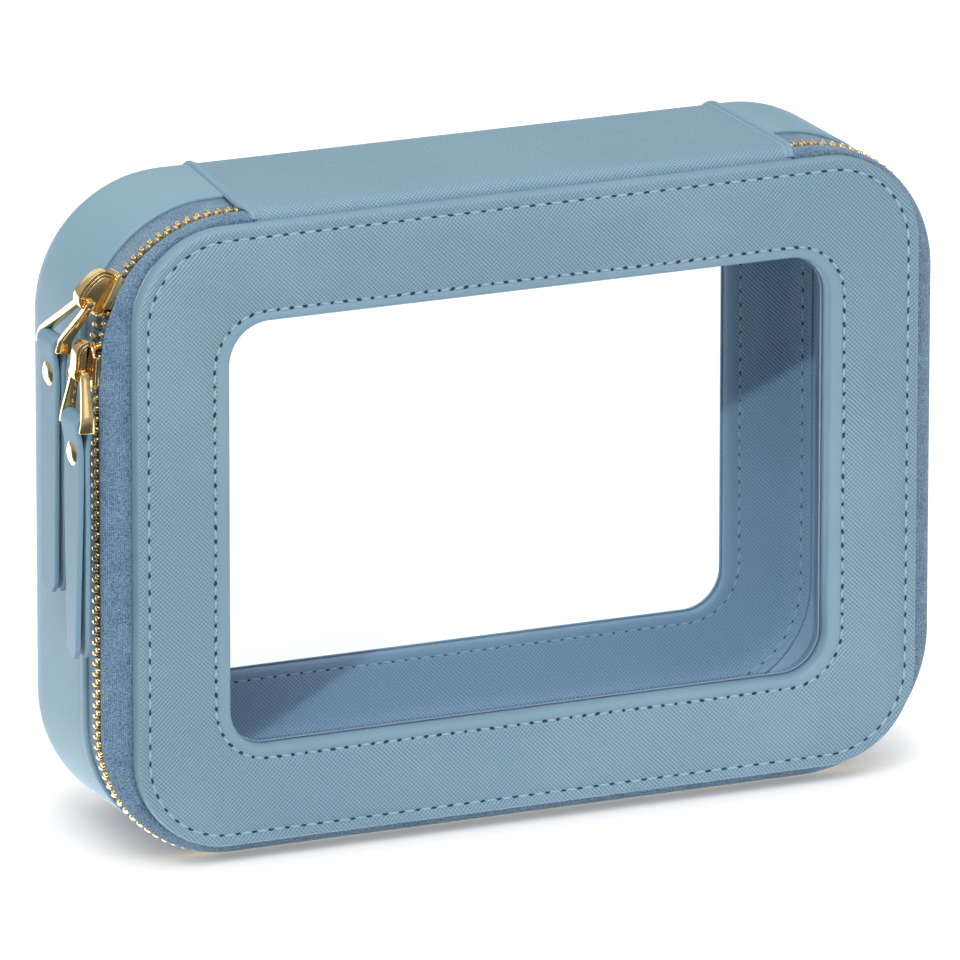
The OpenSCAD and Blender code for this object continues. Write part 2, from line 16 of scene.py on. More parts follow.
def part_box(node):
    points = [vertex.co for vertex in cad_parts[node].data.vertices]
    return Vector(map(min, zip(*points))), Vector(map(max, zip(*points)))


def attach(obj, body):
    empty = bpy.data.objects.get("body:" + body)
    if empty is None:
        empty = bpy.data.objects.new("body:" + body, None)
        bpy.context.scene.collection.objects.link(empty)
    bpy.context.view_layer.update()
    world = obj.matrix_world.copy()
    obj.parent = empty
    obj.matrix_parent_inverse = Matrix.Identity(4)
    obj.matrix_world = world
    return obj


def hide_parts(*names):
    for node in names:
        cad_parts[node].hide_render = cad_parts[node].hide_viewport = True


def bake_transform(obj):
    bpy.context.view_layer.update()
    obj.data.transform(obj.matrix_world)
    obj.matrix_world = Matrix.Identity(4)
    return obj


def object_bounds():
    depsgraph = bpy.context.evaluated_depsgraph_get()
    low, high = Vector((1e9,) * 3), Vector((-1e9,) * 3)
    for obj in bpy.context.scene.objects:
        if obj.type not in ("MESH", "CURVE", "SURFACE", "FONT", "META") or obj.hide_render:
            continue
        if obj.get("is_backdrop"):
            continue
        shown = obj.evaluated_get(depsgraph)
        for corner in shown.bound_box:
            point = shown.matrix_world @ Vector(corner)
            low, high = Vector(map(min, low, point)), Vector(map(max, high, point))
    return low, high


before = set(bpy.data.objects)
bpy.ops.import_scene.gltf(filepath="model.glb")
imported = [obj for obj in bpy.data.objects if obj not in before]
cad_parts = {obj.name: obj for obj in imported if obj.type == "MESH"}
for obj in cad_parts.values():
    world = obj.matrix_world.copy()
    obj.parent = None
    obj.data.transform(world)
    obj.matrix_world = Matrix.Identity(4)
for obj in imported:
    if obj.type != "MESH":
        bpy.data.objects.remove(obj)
CAD_BOX = [list(corner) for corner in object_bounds()]
scene = bpy.context.scene

# %% [markdown]
# ## Sizes
# The pieces are drawn in the case's own section frame: x to the right, d back from the front
# face and y up from the middle of the wall, all in millimetres. Drawing in these numbers keeps
# them readable, and one function carries them to metres in the place where the case stands.

# %% Sizes of the case in millimetres
CASE_W, CASE_H, CASE_D, CORNER_R, REAR_R = 210, 156, 61, 32, 14
LEATHER, BOARD, LINING = 0.9, 1.4, 0.6
WALL_T = LEATHER + BOARD + LINING
PANEL_W, PANEL_H, PANEL_R, PANEL_T, RISE = 199.6, 149.2, 22.8, 5.0, 1.0
WINDOW_W, WINDOW_H, WINDOW_R = 153, 103, 10
ZIP_D, CHAIN_HALF_W, CHAIN_HALF_H, CHAIN_R = 10.6, 105.3, 76.45, 31.8
PITCH, HINGE_BEND = 2.54, 3.2
SEAM_LEFT = ((-66.4, 0), (-69.6, ZIP_D), (-64, CASE_D))
SEAM_RIGHT = ((68.1, 0), (68.7, ZIP_D), (68.6, CASE_D))


def place(x, d, y):
    """A point of the section frame, in metres in the frame of the part."""
    return Vector((x / 1000, (d - CASE_D / 2) / 1000, (y + CASE_H / 2) / 1000))


print("front face at", place(0, 0, 0), "top of the wall at", place(0, 0, CASE_H / 2))

# %% [markdown]
# ## Helpers for modelling
# Nearly everything on this case is a strip: a flat material that runs round the case or bends
# over an edge. A strip is made from one grid primitive whose vertices are then put in their
# places, because a grid keeps even faces and brings a UV map that can be scaled to millimetres.
# Nothing else may be selected while an operator works, so each piece starts by deselecting all.

# %% Start a piece, edit it and finish it
def only(obj):
    """Select one object and nothing else."""
    if bpy.context.object and bpy.context.object.mode != "OBJECT":
        bpy.ops.object.mode_set(mode="OBJECT")
    bpy.ops.object.select_all(action="DESELECT")
    obj.select_set(True)
    bpy.context.view_layer.objects.active = obj
    return obj


def named(name):
    """Name the primitive that was just added, with its own mesh."""
    obj = bpy.context.object
    obj.name = obj.data.name = name
    return only(obj)


def settle(obj):
    """Leave the object at the origin, unturned and unscaled."""
    only(obj)
    bpy.ops.object.transform_apply(location=True, rotation=True, scale=True)
    return obj


def clean(obj, merge=0.0):
    """Merge doubles and turn every face outwards."""
    only(obj)
    bpy.ops.object.mode_set(mode="EDIT")
    bpy.ops.mesh.select_all(action="SELECT")
    if merge:
        bpy.ops.mesh.remove_doubles(threshold=merge)
    bpy.ops.mesh.normals_make_consistent(inside=False)
    bpy.ops.object.mode_set(mode="OBJECT")
    return obj


def modify(obj, kind, **settings):
    """Add a modifier, set it and apply it."""
    only(obj)
    mod = obj.modifiers.new(kind.title(), kind)
    for key, value in settings.items():
        setattr(mod, key, value)
    bpy.ops.object.modifier_apply(modifier=mod.name)
    return obj


def smooth(obj, angle=35):
    only(obj)
    bpy.ops.object.shade_smooth_by_angle(angle=math.radians(angle))
    return obj


# %% A grid bent into a strip
def strip(name, across, along, at, size=(1, 1), close=False, merge=0.00001):
    """A grid of across x along faces. at(u, v) gives the section-frame place of each corner,
    and size is the strip's real width and length in millimetres, for its UV map."""
    bpy.ops.object.select_all(action="DESELECT")
    bpy.ops.mesh.primitive_grid_add(x_subdivisions=across, y_subdivisions=along, size=1)
    obj = named(name)
    for vertex in obj.data.vertices:
        vertex.co = place(*at(vertex.co.x + 0.5, vertex.co.y + 0.5))
    uv = obj.data.uv_layers[0].data
    for corner in uv:
        corner.uv = (corner.uv[0] * size[0] / 1000, corner.uv[1] * size[1] / 1000)
    if close:
        clean(obj, merge)
    return obj


def thicken(obj, thickness, offset=-1.0):
    """Give a strip its wall, inwards from its outer face."""
    return modify(obj, "SOLIDIFY", thickness=thickness / 1000, offset=offset, use_even_offset=False)


def skin(obj, thickness, angle=60):
    """Turn a strip's faces outwards, give it its wall and shade it."""
    return smooth(thicken(clean(obj), thickness), angle)


def row_at(rows, share):
    """The row of a section at a share of the way through it."""
    return rows[round(share * (len(rows) - 1))]


def runs_of(points):
    """The run along a line of flat points, from 0 at the first."""
    runs = [0.0]
    for (ax, ay), (bx, by) in zip(points, points[1:]):
        runs.append(runs[-1] + math.hypot(bx - ax, by - ay))
    return runs


def map_uv(obj, at):
    """Rewrite a strip's UV map; at(u, v) gets its shares and gives metres."""
    for corner in obj.data.uv_layers[0].data:
        corner.uv = at(corner.uv[0] * 1000, corner.uv[1] * 1000)


def mesh_report(*objects):
    for obj in objects:
        size = [round(v * 1000, 1) for v in obj.dimensions]
        print(f"{obj.name}: {len(obj.data.polygons)} faces, {size} mm")

# %% [markdown]
# ## Camera, light and floor
# The case is seen from its left and a little above by a very long lens, which keeps its edges
# nearly parallel. The light is a plain pale studio: an even world, one large soft lamp from the
# upper left and three faint ones in front, at the left and behind. The floor glows white for the
# eye, with a painted contact shadow near the case. For gloss it glows as a bright sheet that ends
# along a slanting line in front of the case, and this painted reflection shows as a slanting line
# in the clear window.

# %% Camera
YAW, PITCH_DOWN, ROLL = (math.radians(a) for a in (23.98, 16.44, 0.06))
LENS, EYE = 562.5, Vector((-1.3773, -3.0965, 1.0762))
forward = Vector((math.sin(YAW) * math.cos(PITCH_DOWN), math.cos(YAW) * math.cos(PITCH_DOWN),
                  -math.sin(PITCH_DOWN)))
right = Vector((math.cos(YAW), -math.sin(YAW), 0))
up = right.cross(forward)
across = math.cos(ROLL) * right + math.sin(ROLL) * up
upright = math.cos(ROLL) * up - math.sin(ROLL) * right
bpy.ops.object.camera_add()
camera = bpy.context.object
camera.matrix_world = Matrix((across, upright, -forward)).transposed().to_4x4()
camera.location = EYE
camera.data.lens = LENS
camera.data.sensor_width = 36
camera.data.clip_end = 30
camera.data.dof.use_dof = False
scene.camera = camera
scene.view_settings.view_transform = "Standard"
print("camera at", tuple(round(v, 3) for v in EYE), "lens", LENS)


# %% Lamps
def lamp(name, spot, target, size, power):
    bpy.ops.object.light_add(type="AREA", location=spot)
    light = bpy.context.object
    light.name = name
    light.data.shape = "RECTANGLE"
    light.data.size, light.data.size_y = size
    light.data.energy = power
    aim = Vector(target) - Vector(spot)
    light.rotation_euler = aim.to_track_quat("-Z", "Y").to_euler()
    return light


CASE_MIDDLE = (0, 0, 0.08)
lamp("key_lamp", (-0.9, -1.5, 2.4), CASE_MIDDLE, (1.4, 1.4), 55.5)
lamp("front_lamp", (0.5, -2.6, 1.2), CASE_MIDDLE, (1.2, 0.9), 2.5)
lamp("side_card", (-1.6, 0.2, 0.5), (-0.1, 0, 0.1), (0.35, 0.9), 0.1)
lamp("back_lamp", (0.25, 1.9, 1.0), CASE_MIDDLE, (1.6, 1.0), 2.5)

# %% World: white behind the case, an even pale studio for everything else
world = bpy.data.worlds.new("studio")
scene.world = world
world.use_nodes = True
tree = world.node_tree
tree.nodes.clear()
WORLD_LEVEL = 0.52
sky = tree.nodes.new("ShaderNodeBackground")
sky.inputs["Strength"].default_value = WORLD_LEVEL
direction = tree.nodes.new("ShaderNodeTexCoord")
split = tree.nodes.new("ShaderNodeSeparateXYZ")
tree.links.new(direction.outputs["Generated"], split.inputs[0])
height = tree.nodes.new("ShaderNodeValToRGB")
stops = height.color_ramp.elements
stops[0].position, stops[0].color = 0.0, (0.60, 0.60, 0.61, 1)
stops[1].position, stops[1].color = 0.9, (1.18, 1.18, 1.18, 1)
low = stops.new(0.25)
low.color = (0.80, 0.81, 0.82, 1)
tree.links.new(split.outputs["Z"], height.inputs[0])
tree.links.new(height.outputs[0], sky.inputs["Color"])
white = tree.nodes.new("ShaderNodeBackground")
white.inputs["Color"].default_value = (1, 1, 1, 1)
path = tree.nodes.new("ShaderNodeLightPath")
blend = tree.nodes.new("ShaderNodeMixShader")
output = tree.nodes.new("ShaderNodeOutputWorld")
tree.links.new(path.outputs["Is Camera Ray"], blend.inputs[0])
tree.links.new(sky.outputs[0], blend.inputs[1])
tree.links.new(white.outputs[0], blend.inputs[2])
tree.links.new(blend.outputs[0], output.inputs[0])
print("world level", WORLD_LEVEL)

# %% [markdown]
# ## A small language for finishes
# A finish is a handful of numbers that vary over the surface. Written as Python expressions they
# stay readable, so a Signal wraps one node output and adds Math nodes when it is used in a sum,
# and every other node comes from one method of Finish.


# %% Signals and finishes
class Signal:
    """A number that varies over a surface."""

    def __init__(self, finish, socket):
        self.finish, self.socket = finish, socket

    def maths(self, operation, *terms):
        made = self.finish.node("ShaderNodeMath", {"operation": operation}, *terms)
        return Signal(self.finish, made.outputs[0])

    def __add__(self, other): return self.maths("ADD", self, other)
    def __radd__(self, other): return self.maths("ADD", other, self)
    def __sub__(self, other): return self.maths("SUBTRACT", self, other)
    def __rsub__(self, other): return self.maths("SUBTRACT", other, self)
    def __mul__(self, other): return self.maths("MULTIPLY", self, other)
    def __rmul__(self, other): return self.maths("MULTIPLY", other, self)
    def __truediv__(self, other): return self.maths("DIVIDE", self, other)
    def __pow__(self, other): return self.maths("POWER", self, other)
    def sine(self): return self.maths("SINE", self)
    def top(self, other): return self.maths("MAXIMUM", self, other)
    def least(self, other): return self.maths("MINIMUM", self, other)

    def band(self, low, high):
        """0 below low, 1 above high, and a smooth step between."""
        made = self.finish.node("ShaderNodeMapRange", {"interpolation_type": "SMOOTHSTEP"}, self,
                                low, high)
        return Signal(self.finish, made.outputs[0])


class Finish:
    """One material and the node-making method that all of them use."""

    def __init__(self, name, colour, roughness, metallic=0.0, **plain):
        self.material = bpy.data.materials.new(name)
        self.material.use_nodes = True
        self.tree = self.material.node_tree
        self.tree.nodes.clear()
        self.shader = self.node("ShaderNodeBsdfPrincipled")
        self.put("Base Color", (*colour, 1))
        self.put("Roughness", roughness)
        self.put("Metallic", metallic)
        for socket, value in plain.items():
            self.put(socket.replace("_", " "), value)
        self.end = self.node("ShaderNodeOutputMaterial", None, self.shader.outputs[0])

    def node(self, kind, settings=None, *inputs, **named_inputs):
        made = self.tree.nodes.new(kind)
        for key, value in (settings or {}).items():
            if key == "stops":
                ramp = made.color_ramp.elements
                while len(ramp) > 1:
                    ramp.remove(ramp[-1])
                ramp[0].position, ramp[0].color = value[0][0], (*value[0][1], 1)
                for position, colour in value[1:]:
                    ramp.new(position).color = (*colour, 1)
            else:
                setattr(made, key, value)
        for key, value in list(enumerate(inputs)) + list(named_inputs.items()):
            socket = made.inputs[key.replace("_", " ") if isinstance(key, str) else key]
            self.plug(socket, value)
        return made

    def plug(self, socket, value):
        if isinstance(value, Signal):
            value = value.socket
        if isinstance(value, bpy.types.NodeSocket):
            self.tree.links.new(value, socket)
        elif value is not None:
            socket.default_value = value

    def put(self, name, value):
        self.plug(self.shader.inputs[name], value)

    def axes(self, source="Object", scale=1.0, turn=0.0):
        """The three signals of a place, in millimetres times scale."""
        spot = self.node("ShaderNodeTexCoord").outputs[source]
        if turn:
            spot = self.node("ShaderNodeMapping", None, spot, Rotation=(0, turn, 0)).outputs[0]
        parts = self.node("ShaderNodeSeparateXYZ", None, spot)
        return [Signal(self, parts.outputs[k]) * (1000 * scale) for k in range(3)]

    def noise(self, source, size, detail=2.0, roughness=0.5):
        """Soft noise whose blots are about size millimetres across."""
        spot = self.node("ShaderNodeTexCoord").outputs[source]
        made = self.node("ShaderNodeTexNoise", None, Vector=spot, Scale=1000 / size, Detail=detail,
                         Roughness=roughness)
        return Signal(self, made.outputs[0])

    def cells(self, source, size, feature="F1"):
        spot = self.node("ShaderNodeTexCoord").outputs[source]
        made = self.node("ShaderNodeTexVoronoi", {"feature": feature}, Vector=spot, Scale=1000 / size)
        return Signal(self, made.outputs["Distance"])

    def painted(self, name):
        """A float that the piece carries on its vertices."""
        return Signal(self, self.node("ShaderNodeAttribute", {"attribute_name": name}).outputs["Fac"])

    def tint(self, signal, dark, light):
        """Base colour between two colours."""
        made = self.node("ShaderNodeMix", {"data_type": "RGBA"}, signal)
        made.inputs[6].default_value = (*dark, 1)
        made.inputs[7].default_value = (*light, 1)
        self.put("Base Color", made.outputs[2])

    def relief(self, signal, depth, strength=1.0):
        """Bump of that depth in millimetres."""
        made = self.node("ShaderNodeBump", None, Strength=strength, Distance=depth / 1000, Height=signal)
        self.put("Normal", made.outputs[0])

# %% [markdown]
# ## Finishes
# The leather is pressed with a fine cross-hatch: two sets of raised lines at 45 degrees, 0.76 mm
# apart, that fade in and out. The lines are cut from sine waves on the piece's own places, broken
# up a little by noise. A float painted on the vertices takes the hatch off the rolled edges, where
# the leather is stretched smooth. The zip tape is a small knit, and the metal is light gold.

# %% Hatched leather
HATCH = 0.76
LEATHER_BLUE = (0.300, 0.440, 0.535)
LEATHER_GROOVE = (0.115, 0.225, 0.308)
SMOOTH_BLUE = (0.255, 0.412, 0.505)
LINING_BLUE = (0.345, 0.470, 0.600)
LINING_GROOVE = (0.175, 0.285, 0.420)
STRIP_BLUE = (0.318, 0.475, 0.580)
STRIP_GROOVE = (0.142, 0.262, 0.352)


def hatch_of(finish, first, second, pitch):
    """Raised crossing lines from two signals in millimetres, from 0 in the grooves to 1 on top."""
    worn = finish.noise("Object", 26, 2)
    wander = finish.noise("Object", 2.2, 1) * 0.35
    turn = 2 * math.pi / (pitch * math.sqrt(2))
    rising = ((first + second + wander) * turn).sine()
    falling = ((first - second + wander) * turn).sine()
    lean = (worn * 2.4 - 0.7).top(0).least(1)
    return (rising * (0.16 + 0.34 * lean) + falling * (0.46 - 0.32 * lean) + 0.5).top(0).least(1)


HATCH_DEPTH, SMOOTH_LEVEL = 0.12, 0.62


def hatched(name, light, groove, axes=("X", "Z"), source="Object", grain=True):
    finish = Finish(name, light, 0.5)
    places = dict(zip("XYZ", finish.axes(source)))
    ridge = hatch_of(finish, places[axes[0]], places[axes[1]], HATCH)
    if grain:
        ridge = ridge * finish.painted("grain") + SMOOTH_LEVEL * (1 - finish.painted("grain"))
    cloud = finish.noise("Object", 45, 2)
    finish.tint((ridge * 0.86 + (cloud - 0.5) * 0.5).top(0).least(1), groove, light)
    finish.put("Roughness", 0.60 - ridge * 0.12 + (cloud - 0.5) * 0.1)
    finish.relief(ridge + finish.noise("Object", 0.35, 1) * 0.12, HATCH_DEPTH)
    finish.put("Specular IOR Level", 0.42)
    return finish.material


front_hatch = hatched("front_hatch", LEATHER_BLUE, LEATHER_GROOVE)
strip_hatch = hatched("strip_hatch", STRIP_BLUE, STRIP_GROOVE, ("X", "Y"), "UV", grain=False)
lining_hatch = hatched("lining_hatch", LINING_BLUE, LINING_GROOVE)


# %% Smooth leather, tape, thread and card
def smooth_leather(name, light, dark, grain=0.035):
    finish = Finish(name, light, 0.5, Specular_IOR_Level=0.28)
    pores = finish.cells("Object", 0.55)
    cloud = finish.noise("Object", 38, 2)
    finish.tint((0.75 + (cloud - 0.5) * 0.8 - pores * 0.18).top(0).least(1), dark, light)
    finish.put("Roughness", 0.46 + pores * 0.1)
    finish.relief(pores + finish.noise("Object", 0.9, 2) * 0.6, grain)
    return finish.material


wall_leather = smooth_leather("wall_leather", SMOOTH_BLUE, (0.205, 0.335, 0.425))
edge_leather = smooth_leather("edge_leather", (0.240, 0.390, 0.482), (0.190, 0.320, 0.410), 0.02)
strap_leather = smooth_leather("strap_leather", (0.205, 0.350, 0.450), (0.160, 0.285, 0.385), 0.02)


def knit(name, light, dark):
    """Small ribs of a woven tape, on a UV map in metres: x runs along the zip."""
    finish = Finish(name, light, 0.8, Sheen_Weight=0.25, Sheen_Roughness=0.5)
    u, v, _ = finish.axes("UV")
    rows = (v * (2 * math.pi / 0.50)).sine()
    legs = ((u + (v * (2 * math.pi / 1.00)).sine() * 0.20) * (2 * math.pi / 0.78)).sine()
    lump = finish.noise("Object", 0.42, 2)
    cloud = finish.noise("Object", 6, 2)
    weave = (0.50 + rows * 0.12 + legs * 0.13 + (lump - 0.5) * 2.0).top(0).least(1)
    finish.tint((weave * 0.9 + (cloud - 0.5) * 0.5 + 0.03).top(0).least(1), dark, light)
    finish.put("Roughness", 0.86 - weave * 0.22)
    finish.relief(weave, 0.2)
    return finish.material


tape_knit = knit("tape_knit", (0.265, 0.425, 0.570), (0.030, 0.095, 0.190))
thread = smooth_leather("thread", (0.385, 0.540, 0.640), (0.260, 0.400, 0.500), 0.03)
# Painted shade: the dark ovals at the needle holes stand in for the shade inside them.
needle_hole_shade = Finish("needle_hole_shade", (0.018, 0.040, 0.085), 0.9).material
card = Finish("card", (0.05, 0.08, 0.13), 0.85)
card.relief(card.noise("Object", 0.8, 3), 0.05)
card.tint(card.noise("Object", 2.5, 2), (0.035, 0.06, 0.1), (0.07, 0.1, 0.16))
card_board = card.material

# %% Gold and clear sheet
gold = Finish("gold", (0.86, 0.64, 0.29), 0.16, 1.0)
tarnish = gold.noise("Object", 3.0, 3)
gold.tint(tarnish, (0.84, 0.57, 0.23), (1.0, 0.79, 0.43))
gold.put("Roughness", 0.10 + tarnish * 0.16)
gold.relief(gold.noise("Object", 1.6, 2), 0.02)
gold_plate = gold.material

# Painted shade: a near-black brown for the slabs in the crown's side slots, standing in for the shade there.
recess_shade = Finish("gold_recess", (0.06, 0.035, 0.012), 0.35, metallic=0.6)
recess_shade.put("Roughness", 0.3 + recess_shade.noise("Object", 1.5, 2) * 0.2)
gold_painted_shade = recess_shade.material

clear = Finish("clear_sheet", (0.9, 0.95, 1.0), 0.03, IOR=1.5, Specular_IOR_Level=0.5)
through = clear.node("ShaderNodeBsdfTransparent", None, (0.985, 0.992, 1.0, 1))
mirror = clear.node("ShaderNodeFresnel", None, IOR=1.5)
side = clear.node("ShaderNodeNewGeometry", None)
outer = (1.0 - Signal(clear, side.outputs["Backfacing"])) * Signal(clear, mirror.outputs[0])
mixed = clear.node("ShaderNodeMixShader", None, outer, through.outputs[0], clear.shader.outputs[0])
# The outer face is a blue-tinted mirror, and the bright band it shows is the floor's glowing sheet, a
# painted reflection.
clear.put("Metallic", 1.0)
clear.put("Base Color", (0.38, 0.70, 0.92, 1))
clear.put("Roughness", 0.02 + clear.noise("Object", 60, 2) * 0.02)
clear.tree.links.new(mixed.outputs[0], clear.end.inputs[0])
clear_sheet = clear.material
print("finishes:", len(bpy.data.materials))


# %% Put a finish on a piece, or on a CAD node that stays
def dress(obj, material, body=None, slot=None, stands_for=()):
    obj.data.materials.clear()
    obj.data.materials.append(material)
    if body:
        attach(obj, body)
    if stands_for:
        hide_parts(*stands_for)
    return obj


def paint(obj, name, strength):
    """Write strength(vertex) on every vertex."""
    layer = obj.data.attributes.new(name, "FLOAT", "POINT")
    layer.data.foreach_set("value", [strength(v.co) for v in obj.data.vertices])


def floor_with_painted_shadow_and_glare():
    """Paper that glows white for the eye, with a painted contact shadow near the case, and for gloss a
    glowing bright sheet, a painted reflection, that ends along a slanting line.
    """
    finish = Finish("floor_white", (0.93, 0.93, 0.93), 0.9, Specular_IOR_Level=0.0)
    x, y, _ = finish.axes("Object", 0.001)
    sheet = (GLARE_FAR + x * GLARE_SLOPE - y).band(-0.002, 0.002)
    # Painted contact shadow: for camera rays the floor glows white, darkened by ambient occlusion where the
    # case is close.
    open_sky = finish.node("ShaderNodeAmbientOcclusion", {"samples": 12}, Distance=0.021)
    shade = finish.node("ShaderNodeMix", {"data_type": "RGBA"}, Signal(finish, open_sky.outputs["AO"]))
    shade.inputs[6].default_value = (0.22, 0.22, 0.22, 1)
    shade.inputs[7].default_value = (1, 1, 1, 1)
    glow = finish.node("ShaderNodeEmission", None, shade.outputs[2], 0.80)
    paper = finish.node("ShaderNodeBsdfDiffuse", None, (0.46, 0.46, 0.46, 1))
    seen = finish.node("ShaderNodeAddShader", None, paper.outputs[0], glow.outputs[0])
    # Painted reflection: for glossy rays only, the floor glows as a bright sheet up to a slanting line and
    # dimly beyond it, and the window shows this as its slanting glare.
    shine = finish.node("ShaderNodeEmission", None, (0.93, 0.97, 1, 1), 3.0)
    dim = finish.node("ShaderNodeEmission", None, (0.30, 0.31, 0.33, 1), 0.35)
    gloss = finish.node("ShaderNodeMixShader", None, sheet, shine.outputs[0], dim.outputs[0])
    path = finish.node("ShaderNodeLightPath")
    near = finish.node("ShaderNodeMixShader", None, path.outputs["Is Camera Ray"],
                       finish.shader.outputs[0], seen.outputs[0])
    both = finish.node("ShaderNodeMixShader", None, path.outputs["Is Glossy Ray"], near.outputs[0],
                       gloss.outputs[0])
    finish.tree.links.new(both.outputs[0], finish.end.inputs[0])
    return finish.material

# %% [markdown]
# ## Lines that run round the case
# Every seam, edge and tape on the case follows a rectangle with round corners. One function gives
# a point of such a line for a share u of the way round, always with the same share for each side
# and corner. Two different rectangles then stay in step, and the faces between them run straight.

# %% Rounded rectangles
SHARES = (0.0, 0.13, 0.18, 0.32, 0.37, 0.63, 0.68, 0.82, 0.87, 1.0)
TOP_SHARE = SHARES[1]


def rounded(half_w, half_h, r, u, rise=0.0):
    """Anticlockwise from the middle of the top: x, y and the outward normal."""
    cx, cy = half_w - r, half_h - r
    part = max(k for k in range(9) if u >= SHARES[k])
    t = (u - SHARES[part]) / (SHARES[part + 1] - SHARES[part])
    if part in (0, 8):
        return (-cx * t if part == 0 else cx * (1 - t)), half_h + rise, 0.0, 1.0
    if part == 2:
        return -half_w, cy * (1 - 2 * t) + rise, -1.0, 0.0
    if part == 4:
        return cx * (2 * t - 1), -half_h + rise, 0.0, -1.0
    if part == 6:
        return half_w, cy * (2 * t - 1) + rise, 1.0, 0.0
    turn, sx, sy = {1: (90, -1, 1), 3: (180, -1, -1), 5: (270, 1, -1), 7: (0, 1, 1)}[part]
    a = math.radians(turn + 90 * t)
    return sx * cx + r * math.cos(a), sy * cy + r * math.sin(a) + rise, math.cos(a), math.sin(a)


def side_lengths(line):
    half_w, half_h, r, _ = line
    arc = r * math.pi / 2
    return half_w - r, arc, 2 * (half_h - r), arc, 2 * (half_w - r), arc, 2 * (half_h - r), arc, half_w - r


def walk(line, run):
    """The point of a line at a run in millimetres from the middle of the top, and the outward normal."""
    for part, length in enumerate(side_lengths(line)):
        if run <= length or part == 8:
            t = min(1.0, max(0.0, run / length))
            return rounded(line[0], line[1], line[2],
                           SHARES[part] + (SHARES[part + 1] - SHARES[part]) * t, line[3])
        run -= length


def run_at(line, u):
    """The run along a line at a share u."""
    part = max(k for k in range(9) if u >= SHARES[k])
    lengths = side_lengths(line)
    return sum(lengths[:part]) + lengths[part] * (u - SHARES[part]) / (SHARES[part + 1] - SHARES[part])


def grown(line, by):
    half_w, half_h, r, rise = line
    return half_w + by, half_h + by, r + by, rise


def between(first, second, t):
    return tuple(a + (b - a) * t for a, b in zip(first, second))


def beside(line, *places):
    """Stations beside one line; places are (how far outside it, depth)."""
    return [(grown(line, by), depth) for by, depth in places]


WINDOW = (WINDOW_W / 2, WINDOW_H / 2, WINDOW_R, RISE)
PANEL = (PANEL_W / 2, PANEL_H / 2, PANEL_R, RISE)
INNER_STITCH = (80.4, 54.1, 13.3, RISE)
OUTER_STITCH = (97.0, 71.8, 20.0, RISE)
CHAIN = (CHAIN_HALF_W, CHAIN_HALF_H, CHAIN_R, 0.0)
AROUND = 360


def hoop(name, stations, around=AROUND, perimeter=560):
    """A closed ring through stations, each a line round the case and its depth."""
    runs = runs_of([(line[0], depth) for line, depth in stations])

    def at(u, v):
        line, depth = row_at(stations, v)
        x, y, _, _ = rounded(line[0], line[1], line[2], u, line[3])
        return x, depth, y

    obj = strip(name, around, len(stations) - 1, at, close=True)
    map_uv(obj, lambda u, v: (u * perimeter / 1000, row_at(runs, v) / 1000))
    return smooth(obj, 50)


def edge_distance(line, co):
    """How far inside a line a point lies, in millimetres."""
    half_w, half_h, r, rise = line
    x, y = abs(co.x * 1000) - (half_w - r), abs(co.z * 1000 - CASE_H / 2 - rise) - (half_h - r)
    return r - math.hypot(max(x, 0), max(y, 0)) - min(max(x, y), 0)


def ease(value, low, high):
    t = min(1.0, max(0.0, (value - low) / (high - low)))
    return t * t * (3 - 2 * t)


# %% [markdown]
# ## The padded front frame
# Hatched leather is drawn over 2 mm of foam and a board, turned round the outer edge and into the
# window, and sewn down along two lines. It could be a flat ring with painted dimples, but the
# light then misses the swell between the seams. Here the section is drawn instead: a lip, a
# channel at each line of stitches, a low crown between them and a tight rolled edge.

# %% Front cover
CROWN, DIP = -0.45, 0.50
front_section = beside(WINDOW, (0.0, 4.35), (0.0, 2.2), (0.02, 1.2), (0.14, 0.70), (0.42, 0.36),
                       (0.85, 0.20), (1.6, 0.15))
front_section += beside(INNER_STITCH, (-0.9, 0.22), (-0.35, 0.40), (0.0, DIP), (0.35, 0.36), (0.9, 0.10),
                        (1.8, -0.14), (3.2, -0.32))
front_section += [(between(grown(INNER_STITCH, 3.2), grown(OUTER_STITCH, -3.2), t),
                   CROWN + 0.13 * (2 * t - 1) ** 2) for t in (0.2, 0.4, 0.6, 0.8)]
front_section += beside(OUTER_STITCH, (-3.2, -0.32), (-1.8, -0.14), (-0.9, 0.10), (-0.35, 0.36),
                        (0.0, DIP), (0.35, 0.38))
front_section += beside(PANEL, (-1.9, 0.14), (-1.2, 0.04), (-0.72, 0.08), (-0.36, 0.26), (-0.12, 0.62),
                        (-0.02, 1.1), (0.0, 1.9), (0.0, 3.2), (-0.1, 4.3), (-0.5, 4.95), (-1.6, 5.05))
front_cover = hoop("front_cover", front_section, perimeter=600)
paint(front_cover, "grain", lambda co: ease(edge_distance(PANEL, co), 0.15, 0.5)
      * (1 - ease(edge_distance(WINDOW, co), -3.5, -2.9)))
thicken(front_cover, 0.5)
dress(front_cover, front_hatch, "lid", "leather", ("front_leather", "front_window_binding"))
mesh_report(front_cover)

# %% [markdown]
# ## Linings
# Inside, the lid has a flat lining behind its board, and the case has one lining that covers the
# wall, follows the rolled rear edge and ends at the rear window. Each is one hoop of the same kind
# as the front cover, and the hatch of the lining lies flat on it; the wall's part is smooth, up to a seam.

